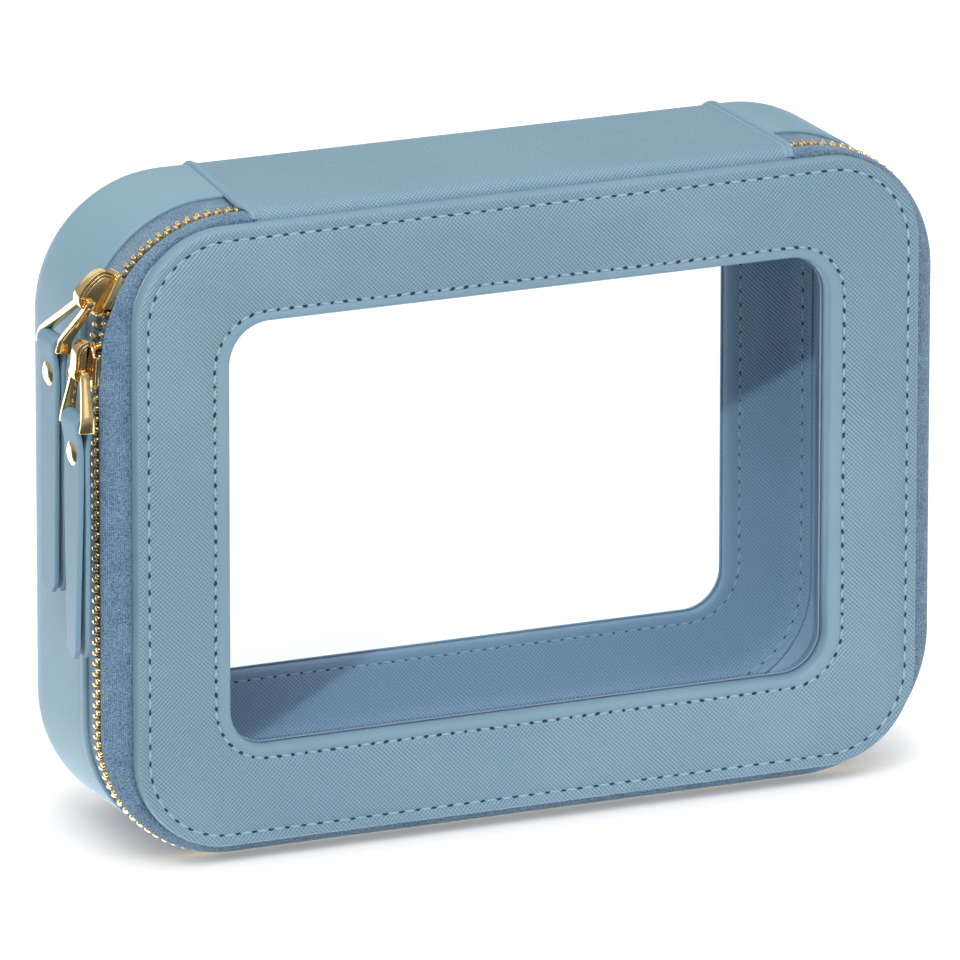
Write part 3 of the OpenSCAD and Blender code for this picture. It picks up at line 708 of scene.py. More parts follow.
# %% Lid lining
lid_section = beside(WINDOW, (0.05, 4.6), (0.1, 4.95), (0.5, 5.14), (1.6, 5.2))
lid_section += beside(INNER_STITCH, (-0.4, 5.16), (0.0, 5.08), (0.4, 5.16), (1.6, 5.22))
lid_section += [(between(INNER_STITCH, OUTER_STITCH, 0.5), 5.24)]
lid_section += beside(OUTER_STITCH, (-1.6, 5.22), (-0.4, 5.16), (0.0, 5.08), (0.4, 5.14))
lid_section += beside(PANEL, (-1.5, 5.14), (-1.2, 4.9))
lid_lining = hoop("lid_lining", lid_section, perimeter=580)
thicken(lid_lining, 0.4, offset=1.0)
paint(lid_lining, "grain", lambda co: 1.0 - ease(edge_distance(WINDOW, co), -3.0, -2.2))
dress(lid_lining, lining_hatch, "lid", "lining", ("front_lining",))

# %% Case lining
CORNER_X, CORNER_Y = CASE_W / 2 - CORNER_R, CASE_H / 2 - CORNER_R
ROLL_START = CASE_D - REAR_R
REAR_FLAT_R = CORNER_R - REAR_R
SEAM_TURN = 51


def wall_line(r):
    """A line of the wall whose corners have radius r."""
    return CORNER_X + r, CORNER_Y + r, r, 0.0


def roll(inset, turn):
    """A line on the rolled rear edge, inset from its outer face, with its depth."""
    a = math.radians(turn)
    reach = REAR_R - inset
    return wall_line(REAR_FLAT_R + reach * math.cos(a)), ROLL_START + reach * math.sin(a)


case_section = [(wall_line(31.0), 26.6), (wall_line(30.6), 26.1), (wall_line(29.9), 25.9),
                (wall_line(29.3), 26.2), (wall_line(29.1), 27.0)]
case_section += [(wall_line(29.1), 27 + 20 * t / 8) for t in range(1, 9)]
case_section += [roll(WALL_T, turn) for turn in (9, 18, 27, 36, 44, 48)]
case_section += [roll(WALL_T - 0.5, 49.5), roll(WALL_T, 51)]
case_section += [roll(WALL_T, turn) for turn in (56, 62, 68, 76, 83, 90)]
rear_flat = roll(WALL_T, 90)[0]
case_section += [(between(rear_flat, grown(INNER_STITCH, 1.2), t), CASE_D - WALL_T) for t in (0.35, 0.7, 1)]
case_section += beside(INNER_STITCH, (0.4, 58.15), (0.0, 58.25), (-0.4, 58.15))
case_section += beside(WINDOW, (1.6, 58.05), (0.7, 58.1), (0.2, 58.35), (0.02, 58.8), (0.0, 59.9))
case_lining = hoop("case_lining", case_section, perimeter=560)
thicken(case_lining, 0.4)
paint(case_lining, "grain", lambda co: ease(co.y * 1000 + 30.5, roll(WALL_T, 50)[1], roll(WALL_T, 53)[1])
      * (1 - ease(edge_distance(WINDOW, co), -3.4, -2.6)))
dress(case_lining, lining_hatch, "case", "lining", ("gusset_lining", "rear_lining", "rear_window_binding"))
mesh_report(lid_lining, case_lining)

# %% [markdown]
# ## The rear frame and the wall
# Behind, a hatched frame lies round the rear window and rolls over the rear edge to a seam. The
# wall between that seam and the zip is smooth leather in two lengths, sewn end to end under the
# base. Its front edge is folded over the zip tape, so it has a thick round hem. The wall is open
# at the top, where the hinge strip is let in between two seams that aren't quite parallel.

# %% Rear cover
rear_section = [roll(0.7, SEAM_TURN + 1), roll(0.15, SEAM_TURN + 2), roll(-0.1, SEAM_TURN + 4)]
rear_section += [roll(0.0, 59), roll(0.22, 64.5), roll(0.0, 70), roll(-0.12, 76), roll(-0.1, 84)]
rear_out = roll(0, 90)[0]
rear_section += [(between(rear_out, grown(INNER_STITCH, 1.6), t), 61.1) for t in (0.0, 0.35, 0.7)]
rear_section += beside(INNER_STITCH, (1.6, 61.05), (0.4, 60.85), (0.0, 60.7), (-0.4, 60.8))
rear_section += beside(WINDOW, (1.8, 61.0), (1.0, 60.95), (0.35, 60.75), (0.05, 60.4), (0.0, 59.7))
rear_cover = hoop("rear_cover", rear_section, perimeter=560)
paint(rear_cover, "grain", lambda co: ease(edge_distance(wall_line(26.8), co), 0.3, 1.3)
      * (1 - ease(edge_distance(WINDOW, co), -2.0, -0.8)))
thicken(rear_cover, 0.4, offset=1.0)
dress(rear_cover, front_hatch, "case", "leather", ("rear_leather",))
mesh_report(rear_cover)


# %% Wall in two lengths
def seam_x(seam, depth):
    """Where a seam of the hinge strip lies at that depth."""
    for (xa, da), (xb, db) in zip(seam, seam[1:]):
        if depth <= db:
            return xa + (xb - xa) * max(0.0, depth - da) / (db - da)
    return seam[-1][0]


wall_section = [(30.3, 22.6), (30.5, 21.6), (30.9, 21.12), (31.35, 20.95), (31.75, 21.02), (32.0, 21.35),
                (32.05, 22.0), (32.04, 23.2), (31.92, 23.6), (32.0, 24.1), (32.0, 26.5)]
wall_section += [(32.0, 26.5 + 20.5 * t / 8) for t in range(1, 9)]
wall_section += [(roll(0, turn)[0][2], roll(0, turn)[1]) for turn in range(8, 45, 7)]
wall_section += [(roll(inset, turn)[0][2], roll(inset, turn)[1])
                 for inset, turn in ((-0.05, 46), (0.05, 49), (0.3, 50.5), (0.9, SEAM_TURN))]


def wall_place(side, u, v):
    """Down from a top seam, round to the middle of the base."""
    r, depth = row_at(wall_section, v)
    start = abs(seam_x(SEAM_LEFT if side < 0 else SEAM_RIGHT, depth))
    shares = (0.05, 0.25, 0.55, 0.75, 1.0)
    if u < shares[0]:
        x, y = start + (CORNER_X - start) * u / shares[0], CORNER_Y + r
    elif u < shares[1]:
        a = math.radians(90 * (u - shares[0]) / (shares[1] - shares[0]))
        x, y = CORNER_X + r * math.sin(a), CORNER_Y + r * math.cos(a)
    elif u < shares[2]:
        x, y = CORNER_X + r, CORNER_Y * (1 - 2 * (u - shares[1]) / (shares[2] - shares[1]))
    elif u < shares[3]:
        a = math.radians(90 * (u - shares[2]) / (shares[3] - shares[2]))
        x, y = CORNER_X + r * math.cos(a), -CORNER_Y - r * math.sin(a)
    else:
        x, y = CORNER_X * (1 - (u - shares[3]) / (1 - shares[3])), -CORNER_Y - r
    return side * x, depth, y


for side, name in ((-1, "left"), (1, "right")):
    wall = strip(f"wall_leather_{name}", 200, len(wall_section) - 1,
                 lambda u, v: wall_place(side, u, v), size=(270, 48))
    skin(wall, 0.6, 50)
    dress(wall, wall_leather, "case", "smooth_leather", (f"gusset_leather_{name}",))
    mesh_report(wall)

# %% [markdown]
# ## The hinge strip and its seams
# One piece of hatched leather starts behind the front panel's top edge, bends over, runs back
# along the top and rolls down to the rear seam. On the real case the strip folds along the zip's
# line when the lid swings up, so the mesh has short faces there. A thin lining lies under it, and
# the two seams stand up as narrow ridges.

# %% Profile of the strip: height, depth and the way out of the surface
FOLD_TOP = CASE_H / 2
strip_profile = [(71.9, 5.25, 0.0, 1.0), (74.2, 5.2, 0.0, 1.0)]
for turn in range(0, 91, 10):
    a = math.radians(turn)
    strip_profile.append((FOLD_TOP - HINGE_BEND + HINGE_BEND * math.sin(a),
                          PANEL_T + HINGE_BEND - HINGE_BEND * math.cos(a), math.sin(a), -math.cos(a)))
strip_profile += [(FOLD_TOP, 8.2 + 0.55 * k, 1.0, 0.0) for k in range(1, 15)]
strip_profile += [(FOLD_TOP, 15.9 + (ROLL_START - 15.9) * k / 12, 1.0, 0.0) for k in range(1, 13)]
for turn in (6, 12, 18, 24, 30, 36, 42, 47, 50, SEAM_TURN):
    a = math.radians(turn)
    reach = REAR_R - (0.8 if turn == SEAM_TURN else 0.25 if turn == 50 else 0)
    strip_profile.append((CASE_H / 2 - REAR_R + reach * math.cos(a), ROLL_START + reach * math.sin(a),
                          math.cos(a), math.sin(a)))
strip_run = runs_of([(y, d) for y, d, _, _ in strip_profile])
FOLD_BACK, FOLD_FRONT = place(0, 14.2, FOLD_TOP), place(0, 8.0, FOLD_TOP)


def follow_lid(obj):
    """Bake the piece's placement into its mesh; nothing here folds it along the zip's line as the lid opens.
    """
    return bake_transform(obj)


def strip_width(u, depth, spare=0.0):
    left, rightmost = seam_x(SEAM_LEFT, depth) - spare, seam_x(SEAM_RIGHT, depth) + spare
    return left + (rightmost - left) * u


# %% The strip and its lining
def hinge_layer(name, lift, sag, first, last, spare):
    rows = strip_profile[first:last]

    def at(u, v):
        y, depth, out_y, out_d = row_at(rows, v)
        x = strip_width(u, depth, spare)
        swell = sag * math.sin(math.pi * u) * ease(depth, 6, 14) * (1 - ease(depth, 40, 50))
        return x, depth + out_d * (lift + swell), y + out_y * (lift + swell)

    obj = strip(name, 96, len(rows) - 1, at)
    map_uv(obj, lambda u, v: (strip_width(u, row_at(rows, v)[1], spare) / 1000,
                              row_at(strip_run[first:last], v) / 1000))
    return obj


hinge_strip = hinge_layer("hinge_strip", 0.0, 0.12, 0, None, 0.25)
skin(hinge_strip, 0.7)
dress(hinge_strip, strip_hatch, None, "leather", ("hinge_front_leather", "hinge_rear_leather"))
follow_lid(hinge_strip)
hinge_lining = hinge_layer("hinge_lining", -0.85, 0.0, 4, 28, -0.6)
skin(hinge_lining, 0.4)
dress(hinge_lining, lining_hatch, None, "lining", ("hinge_front_lining", "hinge_rear_lining"))
follow_lid(hinge_lining)
mesh_report(hinge_strip, hinge_lining)


# %% Seam ridges
def seam_ridge(name, seam, side, first, last, stands_for):
    """A folded seam: a ridge, a groove and a low flat hem beside it."""
    section = [(-1.5, 0.05), (-1.1, 0.28), (-0.75, 0.30), (-0.5, 0.16), (-0.3, 0.5), (0.0, 0.78),
               (0.35, 0.80), (0.7, 0.62), (0.95, 0.28), (1.1, -0.15)]
    rows = strip_profile[first:last]

    def at(u, v):
        y, depth, out_y, out_d = row_at(rows, v)
        off, high = row_at(section, u)
        if depth < 8:
            high *= 0.75
        return seam_x(seam, depth) + side * off, depth + out_d * high, y + out_y * high

    ridge = skin(strip(name, len(section) - 1, len(rows) - 1, at), 0.5)
    dress(ridge, edge_leather, None, "leather", stands_for)
    return follow_lid(ridge)


left_ridge = seam_ridge("seam_left", SEAM_LEFT, -1, 4, -1, ("seam_welts_front",))
right_ridge = seam_ridge("seam_right", SEAM_RIGHT, 1, 4, -1, ("seam_welts_rear",))
mesh_report(left_ridge, right_ridge)

# %% [markdown]
# ## Zip tapes
# The zip is set on edge: one tape runs from behind the front panel's rolled edge out to the teeth,
# and the other from the teeth back under the wall's folded hem. Both are soft, so their sections
# are drawn with a slight belly, and each ends with the bead that the teeth are clamped on.


# %% Chain
CHAIN_START = -SEAM_LEFT[1][0]
ENDS = np.cumsum(side_lengths(CHAIN)) - CHAIN_START
CHAIN_RUN = float(ENDS[8]) - SEAM_RIGHT[1][0]
LOWER_Y, UPPER_ANGLE = 42, 30
LOWER_RUN = float(ENDS[1]) + CHAIN_HALF_H - CHAIN_R - LOWER_Y
UPPER_RUN = float(ENDS[0]) + (float(ENDS[1]) - float(ENDS[0])) * (90 - UPPER_ANGLE) / 90
SLIDER_L, WEDGE_L, OPEN_GAP = 8.6, 2.2, 1.5
OPEN_HALF = (LOWER_RUN - UPPER_RUN) / 2 - SLIDER_L / 2 + WEDGE_L + 0.5
CLOSE_RUN = SLIDER_L - WEDGE_L - 3.4


def opening_at(run):
    share = (OPEN_HALF + CLOSE_RUN - abs(run - (LOWER_RUN + UPPER_RUN) / 2)) / CLOSE_RUN
    return OPEN_GAP * max(0.0, min(1.0, share))


# %% Tapes
def tape(name, rows, body, node, spare):
    """rows are (line, depth, belly, pull); the tape is open at the top between the two seams, and
    pull is how much of the teeth's parting between the sliders a row takes."""
    runs = runs_of([(line[0], depth) for line, depth, _, _ in rows])

    def at(u, v):
        line, depth, belly, pull = row_at(rows, v)
        cx = line[0] - line[2]
        first = TOP_SHARE * (-seam_x(SEAM_LEFT, depth) + spare) / cx
        last = 1 - TOP_SHARE * (seam_x(SEAM_RIGHT, depth) + spare) / cx
        share = first + (last - first) * u
        x, y, nx, ny = rounded(line[0], line[1], line[2], share, line[3])
        ripple = belly * (0.6 + 0.4 * math.sin(share * 61) * math.sin(share * 37 + 1))
        parting = pull * opening_at(run_at(CHAIN, share) - CHAIN_START)
        return x + nx * ripple, depth - parting, y + ny * ripple

    obj = strip(name, 420, len(rows) - 1, at, size=(590, 1))
    map_uv(obj, lambda u, v: (u / 1000, row_at(runs, v) / 1000))
    return dress(skin(obj, 0.6), tape_knit, body, "tape", (node,))


def chain_line(share):
    return between(PANEL, CHAIN, share)


front_rows = [(grown(PANEL, -0.5), 5.2, 0.0, 0), (grown(chain_line(0.10), 0.25), 5.05, 0.0, 0),
              (grown(chain_line(0.30), 0.45), 5.35, 0.1, 0), (grown(chain_line(0.52), 0.45), 5.75, 0.2, 0.1),
              (grown(chain_line(0.74), 0.60), 6.2, 0.12, 0.3),
              (grown(chain_line(0.90), 0.80), 6.8, 0.05, 0.6),
              (grown(CHAIN, 0.90), 7.5, 0.0, 0.85), (grown(CHAIN, 0.88), 8.1, 0.0, 1),
              (grown(CHAIN, 0.55), 8.6, 0.0, 1), (grown(CHAIN, -0.1), 8.9, 0.0, 1),
              (grown(CHAIN, -0.5), 9.8, 0.0, 1)]
front_tape = tape("front_tape", front_rows, "lid", "tape_front", 0.3)
hem_line = (CASE_W / 2 - 1.0, CASE_H / 2 - 1.0, CORNER_R - 1.0, 0.0)
rear_rows = [(grown(CHAIN, -0.5), 11.4, 0.0, -1), (grown(CHAIN, -0.2), 12.1, 0.0, -1),
             (grown(CHAIN, 0.35), 12.4, 0.0, -1), (grown(CHAIN, 0.38), 12.8, 0.0, -1),
             (between(CHAIN, hem_line, 0.15), 14.0, 0.25, -0.7),
             (between(CHAIN, hem_line, 0.4), 16.0, 0.3, -0.3),
             (between(CHAIN, hem_line, 0.75), 18.4, 0.2, 0), (hem_line, 20.6, 0.0, 0),
             (hem_line, 22.5, 0.0, 0), (grown(hem_line, -0.1), 25.6, 0.0, 0)]
rear_tape = tape("rear_tape", rear_rows, "case", "tape_rear", 0.3)
mesh_report(front_tape, rear_tape)

# %% [markdown]
# ## Zip teeth
# About 210 metal teeth sit on each tape, 2.54 mm apart and half a step out from the other row. One
# tooth is modelled from a cube: a clamp on the tape's bead, a waist, and a rounded head that meets
# the other row. It is then copied along the chain, each copy with its own mesh, and a row is joined.
# Between the two sliders the rows are drawn apart by the sliders' wedges.

# %% Places on the chain and copies of a model
def on_chain(run, depth=0.0, flip=1):
    """Carries local axes (outward, along the chain, back) in millimetres to the chain."""
    x, y, nx, ny = walk(CHAIN, run + CHAIN_START)
    matrix = Matrix(((nx, -ny * flip, 0), (0, 0, 1), (ny, nx * flip, 0))).to_4x4()
    return Matrix.Translation(place(x, ZIP_D + depth, y)) @ matrix @ Matrix.Scale(0.001, 4)


def carry(obj, matrix):
    """Move a mesh by a matrix and keep its faces turned outwards."""
    obj.data.transform(matrix)
    if matrix.to_3x3().determinant() < 0:
        obj.data.flip_normals()
    return obj


def repeat(model, places, name):
    """Copies of a model at many places, each with its own mesh, joined into one piece."""
    copies = []
    for matrix in places:
        copy = model.copy()
        copy.data = model.data.copy()
        carry(copy, matrix)
        scene.collection.objects.link(copy)
        copies.append(copy)
    bpy.data.objects.remove(model)
    only(copies[0])
    for copy in copies:
        copy.select_set(True)
    bpy.ops.object.join()
    return named(name)


def edit(obj, action):
    """Run an action on the mesh in edit mode; action gets the bmesh."""
    only(obj)
    bpy.ops.object.mode_set(mode="EDIT")
    mesh = bmesh.from_edit_mesh(obj.data)
    action(mesh)
    bmesh.update_edit_mesh(obj.data)
    bpy.ops.object.mode_set(mode="OBJECT")
    return obj


def pick(mesh, test):
    """Select the faces whose middle passes the test."""
    bpy.ops.mesh.select_all(action="DESELECT")
    for face in mesh.faces:
        face.select_set(test(face.calc_center_median(), face.normal))


# %% One tooth, drawn in millimetres: x outward, y along the chain, z towards the other row
def tooth_model():
    bpy.ops.object.select_all(action="DESELECT")
    bpy.ops.mesh.primitive_cube_add(size=1, location=(0, 0, -1.0), scale=(2.5, 0.86, 1.2))
    tooth = settle(named("tooth"))

    def draw(mesh):
        pick(mesh, lambda middle, normal: normal.z > 0.5)
        bpy.ops.mesh.extrude_region_move(TRANSFORM_OT_translate={"value": (0, 0, 0.25)})
        bpy.ops.transform.resize(value=(0.80, 0.78, 1))
        bpy.ops.mesh.extrude_region_move(TRANSFORM_OT_translate={"value": (0, 0, 0.30)})
        bpy.ops.transform.resize(value=(1.12, 1.12, 1))
        bpy.ops.mesh.extrude_region_move(TRANSFORM_OT_translate={"value": (0, 0, 0.20)})
        bpy.ops.transform.resize(value=(0.74, 0.66, 1))

    edit(tooth, draw)
    modify(tooth, "BEVEL", width=0.16, segments=1, limit_method="ANGLE")
    return smooth(tooth, 60)


for name, first, way, body, node in (("teeth_of_lid", PITCH / 2, 1, "lid", "teeth_front"),
                                     ("teeth_of_case", PITCH, -1, "case", "teeth_rear")):
    turned = Matrix.Diagonal((1, 1, way, 1))
    runs = np.arange(first, CHAIN_RUN - 1.02, PITCH)
    places = [on_chain(run, -way * opening_at(run)) @ turned for run in runs]
    row = repeat(tooth_model(), places, name)
    dress(row, gold_plate, body, "gold", (node,))
    smooth(row, 60)
    mesh_report(row)
    print(len(runs), "teeth")

# %% [markdown]
# ## Stitches
# Two lines of lockstitch run round the front and the rear frame, and the linings show the same
# lines from inside. A stitch is a low oval of thread, and where two meet the needle has left a
# hole, drawn as a low dark oval of painted shade. Both are modelled once and copied along the line
# at equal steps.


# %% One stitch and one needle hole, in millimetres: x along the line, z out of the leather
def oval(name, length, width, height, rings=5, segments=8):
    bpy.ops.object.select_all(action="DESELECT")
    bpy.ops.mesh.primitive_uv_sphere_add(segments=segments, ring_count=rings, radius=0.5)
    obj = named(name)
    obj.data.transform(Matrix.Rotation(math.radians(90), 4, "Y"))
    obj.data.transform(Matrix.Diagonal((length, width, height, 1)))
    return obj


def line_places(line, depth, pitch, turn=-90, half=0.0, jitter=0.0, lift=0.0):
    """Places along a line at equal steps; turn is the way out of the leather, -90 to the front."""
    around = sum(side_lengths(line))
    count = round(around / pitch)
    a = math.radians(turn)
    places = []
    for k in range(count):
        x, y, nx, ny = walk(line, (k + half) * around / count)
        out = Vector((nx * math.cos(a), math.sin(a), ny * math.cos(a)))
        along = Vector((-ny, 0, nx))
        cross = out.cross(along)
        at = place(x, depth, y) + out * (lift / 1000)
        shift = jitter * math.sin(k * 12.9898 + line[0])
        turned = Matrix((along, cross, out)).transposed() @ Matrix.Rotation(shift * 0.35, 3, "Z")
        size = 1 + 0.3 * jitter * math.sin(k * 4.7 + line[1])
        places.append(Matrix.Translation(at + cross * (0.00008 * shift)) @ turned.to_4x4()
                      @ Matrix.Diagonal((0.001 * size, 0.001, 0.001, 1)))
    return places


# %% Lines of stitches
def sew(name, line, depth, pitch, body, turn=-90, hole=(0.9, 0.42), jitter=0.0, lift=0.0):
    threads = repeat(oval("thread", 0.62 * pitch, 0.62, 0.44),
                     line_places(line, depth, pitch, turn, 0.5, 0.4 * jitter, lift), name + "_thread")
    # The holes are low dark ovals of painted shade.
    holes = repeat(oval("hole", hole[0], hole[1], 0.26, 4, 8),
                   line_places(line, depth, pitch, turn, 0.0, jitter, lift + 0.02), name + "_holes")
    for obj, material in ((threads, thread), (holes, needle_hole_shade)):
        smooth(obj, 80)
        dress(obj, material, body, "leather" if "lining" not in name else "lining")
    mesh_report(threads, holes)


INNER_PITCH, OUTER_PITCH = 3.4, 4.15
sew("front_inner", INNER_STITCH, DIP - 0.05, INNER_PITCH, "lid", hole=(1.15, 0.8), jitter=1.0, lift=0.08)
sew("front_outer", OUTER_STITCH, DIP - 0.02, OUTER_PITCH, "lid", hole=(1.5, 0.82), jitter=0.3)
sew("rear_inner", INNER_STITCH, 60.78, INNER_PITCH, "case", 90, (0.9, 0.5), 0.8)
sew("rear_outer", *roll(0.22, 64.5), OUTER_PITCH, "case", 64.5, (1.0, 0.5), 0.3)
sew("lining_rear_inner", INNER_STITCH, 58.2, INNER_PITCH, "case", -90, (0.9, 0.5), 0.8)
sew("lining_rear_outer", *roll(WALL_T, 62), OUTER_PITCH, "case", 242, (1.0, 0.5), 0.3)
sew("lining_lid_inner", INNER_STITCH, 5.12, INNER_PITCH, "lid", 90, (0.9, 0.5), 0.8)
sew("lining_lid_outer", OUTER_STITCH, 5.12, OUTER_PITCH, "lid", 90, (0.9, 0.5), 0.3)

# %% [markdown]
# ## Sliders and pull frames
# Each slider is two plates joined by a wedge at the nose. Their rims turn in round the tape's
# edge, and a crown like a closed hood stands on the outer plate, stepped in two ridges on each
# side. The frame that carries the strap hangs from a bar through the crown: two bars that flare
# to flat ends, with a bar for the strap between them.


# %% Slabs and rounded bars, in millimetres
def slab(name, outline, low, high):
    """An outline in x and y, drawn up from low to high in z."""
    bpy.ops.object.select_all(action="DESELECT")
    bpy.ops.mesh.primitive_circle_add(vertices=len(outline), radius=1, fill_type="NGON")
    obj = named(name)
    for vertex, (x, y) in zip(obj.data.vertices, outline):
        vertex.co = (x, y, low)

    def draw(mesh):
        bpy.ops.mesh.select_all(action="SELECT")
        bpy.ops.mesh.extrude_region_move(TRANSFORM_OT_translate={"value": (0, 0, high - low)})

    return clean(edit(obj, draw))


def arc(cx, cy, r, start, end, count):
    turns = [math.radians(start + (end - start) * k / (count - 1)) for k in range(count)]
    return [(cx + r * math.cos(a), cy + r * math.sin(a)) for a in turns]


def bevel(obj, width, segments=2):
    return modify(obj, "BEVEL", width=width, segments=segments, limit_method="ANGLE",
                  angle_limit=math.radians(28))


def gather(name, pieces):
    only(pieces[0])
    for piece in pieces:
        piece.select_set(True)
    bpy.ops.object.join()
    return named(name)


def bar(name, a, b, r, sides=14):
    """A round bar from a to b."""
    a, b = Vector(a), Vector(b)
    bpy.ops.object.select_all(action="DESELECT")
    bpy.ops.mesh.primitive_cylinder_add(vertices=sides, radius=r, depth=(b - a).length)
    obj = bevel(named(name), r * 0.22)
    turned = (b - a).to_track_quat("Z", "Y").to_matrix().to_4x4()
    obj.data.transform(Matrix.Translation((a + b) / 2) @ turned)
    return obj


def blade(name, stations):
    """A bar through stations of (middle, half width vector, half thickness vector)."""
    sides = 16

    def at(u, v):
        middle, wide, thick = row_at(stations, v)
        a = 2 * math.pi * u
        c, s = math.cos(a), math.sin(a)
        return tuple(Vector(middle) + Vector(wide) * math.copysign(abs(c) ** 0.55, c)
                     + Vector(thick) * math.copysign(abs(s) ** 0.55, s))

    bpy.ops.object.select_all(action="DESELECT")
    bpy.ops.mesh.primitive_grid_add(x_subdivisions=sides, y_subdivisions=len(stations) - 1, size=1)
    obj = named(name)
    for vertex in obj.data.vertices:
        vertex.co = at(vertex.co.x + 0.5, vertex.co.y + 0.5)

    def close(mesh):
        bpy.ops.mesh.select_all(action="SELECT")
        bpy.ops.mesh.remove_doubles(threshold=0.0005)
        bpy.ops.mesh.fill_holes(sides=0)

    edit(obj, close)
    return clean(obj)


# %% Slider body and crown
OUTER, PLATE = 1.7, 1.0
CROWN_HALF_W, RECESS_AT, RECESS_HALF = 1.75, 1.42, 0.14
TURN_OUT = Matrix(((0, 0, 1, 0), (1, 0, 0, 0), (0, 1, 0, 0), (0, 0, 0, 1)))
TO_PART = Matrix.Translation(place(0, 0, 0)) @ Matrix.Scale(0.001, 4)


def slider_body(name, run, flip, body, node, nose, tail):
    """Two plates, their rims and the wedge; nose and tail are the ends along the chain."""
    half = [(tail, 2.2), (tail + 0.5, 3.0), (tail + 3.2, 3.2), (nose - 5.0, 3.75), (nose - 2.6, 3.75),
            (nose - 2.2, 3.15), (nose - 1.2, 2.8), (nose - 0.4, 2.1), (nose, 1.2)]
    outline = [(y, -z) for y, z in half] + [(y, z) for y, z in reversed(half)]
    outer = bevel(slab("outer", outline, OUTER, OUTER + PLATE), 0.3, 3)
    inner = bevel(slab("inner", [(y, 0.8 * z) for y, z in outline], -OUTER - PLATE, -OUTER), 0.2)
    rims = []
    for side in (-1, 1):
        rim = slab("rim", [(tail + 0.7, side * 2.35), (tail + 3.2, side * 2.5), (nose - 5.0, side * 3.0),
                           (nose - 2.8, side * 3.0), (nose - 2.8, side * 3.72), (nose - 5.0, side * 3.72),
                           (tail + 3.2, side * 3.15), (tail + 0.7, side * 2.95)], OUTER - 0.9, OUTER + 0.4)
        rims.append(bevel(rim, 0.2))
    lip = bevel(slab("lip", [(nose - 1.6, -2.0), (nose - 0.1, -1.0), (nose - 0.1, 1.0), (nose - 1.6, 2.0)],
                     0.2, OUTER + 0.5), 0.3)
    wedge = slab("wedge", [(nose - WEDGE_L - 0.3, -0.1), (nose - 0.3, -0.4), (nose - 0.3, 0.4),
                           (nose - WEDGE_L - 0.3, 0.1)], -OUTER - 0.1, OUTER + 0.1)
    obj = gather(name, [outer, inner, *rims, lip, wedge])
    obj.data.transform(TURN_OUT)
    carry(obj, on_chain(run, 0.0, flip))
    smooth(obj, 40)
    return dress(obj, gold_plate, body, "gold", (node,))


def crown_side(name, outline, half_w):
    """A hood: its outline drawn across the plate, with two ridges stepped into each side."""
    obj = slab(name, outline, -half_w, half_w)

    def ridges(mesh):
        bpy.ops.mesh.select_mode(type="FACE")
        pick(mesh, lambda middle, normal: abs(normal.z) > 0.9)
        for thick, deep in ((0.32, 0.05), (0.14, -0.45), (0.18, 0.0), (0.14, 0.38), (0.26, 0.1),
                            (0.14, -0.42), (0.2, 0.0), (0.14, 0.34), (0.24, 0.08)):
            bpy.ops.mesh.inset(thickness=thick, depth=deep, use_even_offset=False, use_individual=True)

    edit(obj, ridges)
    return clean(bevel(obj, 0.12))


def slider_crown(name, run, flip, body, node, outline, slot_at):
    """The hood, with a dark slab of painted shade in each side."""
    obj = crown_side(name, outline, CROWN_HALF_W)
    sx, sy = slot_at
    corners = [(sx - 0.45, sy - 1), (sx + 0.45, sy - 1), (sx + 0.45, sy + 1), (sx - 0.45, sy + 1)]
    # Dark slabs of painted shade fill the side slots.
    slots = [slab("slot", corners, side * RECESS_AT - RECESS_HALF, side * RECESS_AT + RECESS_HALF)
             for side in (-1, 1)]
    recess_shade = gather(name + "_recess", slots)
    for piece, finish in ((obj, gold_plate), (recess_shade, gold_painted_shade)):
        carry(piece, on_chain(run, 0.0, flip))
        smooth(piece, 40)
        dress(piece, finish, body, "gold", (node,) if piece is obj else ())
    return obj


CROWN_UPPER = [(2.55, -3.9), (4.4, -4.0), (5.6, -3.8), (6.5, -3.1), (7.3, -1.9), (8.0, -0.2), (8.5, 1.6),
               (8.7, 3.2), (8.55, 4.4), (8.0, 5.5), (7.0, 6.3), (5.8, 6.6), (4.6, 6.3), (3.5, 5.8),
               (2.55, 5.6)]
CROWN_LOWER = [(2.55, -1.0), (3.6, -1.5), (4.8, -1.6), (5.9, -1.2), (6.6, -0.3), (6.7, 0.8), (6.3, 1.9),
               (6.2, 3.4), (6.15, 5.0), (5.7, 6.5), (4.9, 7.5), (3.8, 8.0), (2.55, 8.1)]
SLIDERS = (("upper", UPPER_RUN, 1, (6.6, -4.8), CROWN_UPPER, (3.5, -0.1)),
           ("lower", LOWER_RUN, -1, (7.4, -3.0), CROWN_LOWER, (3.5, 3.7)))
for which, run, flip, ends, _, _ in SLIDERS:
    body = f"slider_{which}"
    mesh_report(slider_body(body, run, flip, body, f"{body}_body", *ends))
for which, run, flip, _, hood, slot_at in SLIDERS:
    body = f"slider_{which}"
    mesh_report(slider_crown(f"crown_{which}", run, flip, body, f"{body}_bridge", hood, slot_at))


# %% Pull frames
BAR_R, PULL_X = 0.8, -110.8
PULLS = {"upper": ((-108.3, 59.1), 46.5, 24.5), "lower": ((-109.9, 42.2), 31.0, 10.3)}
SPREAD_TOP, SPREAD_END = 2.85, 5.9


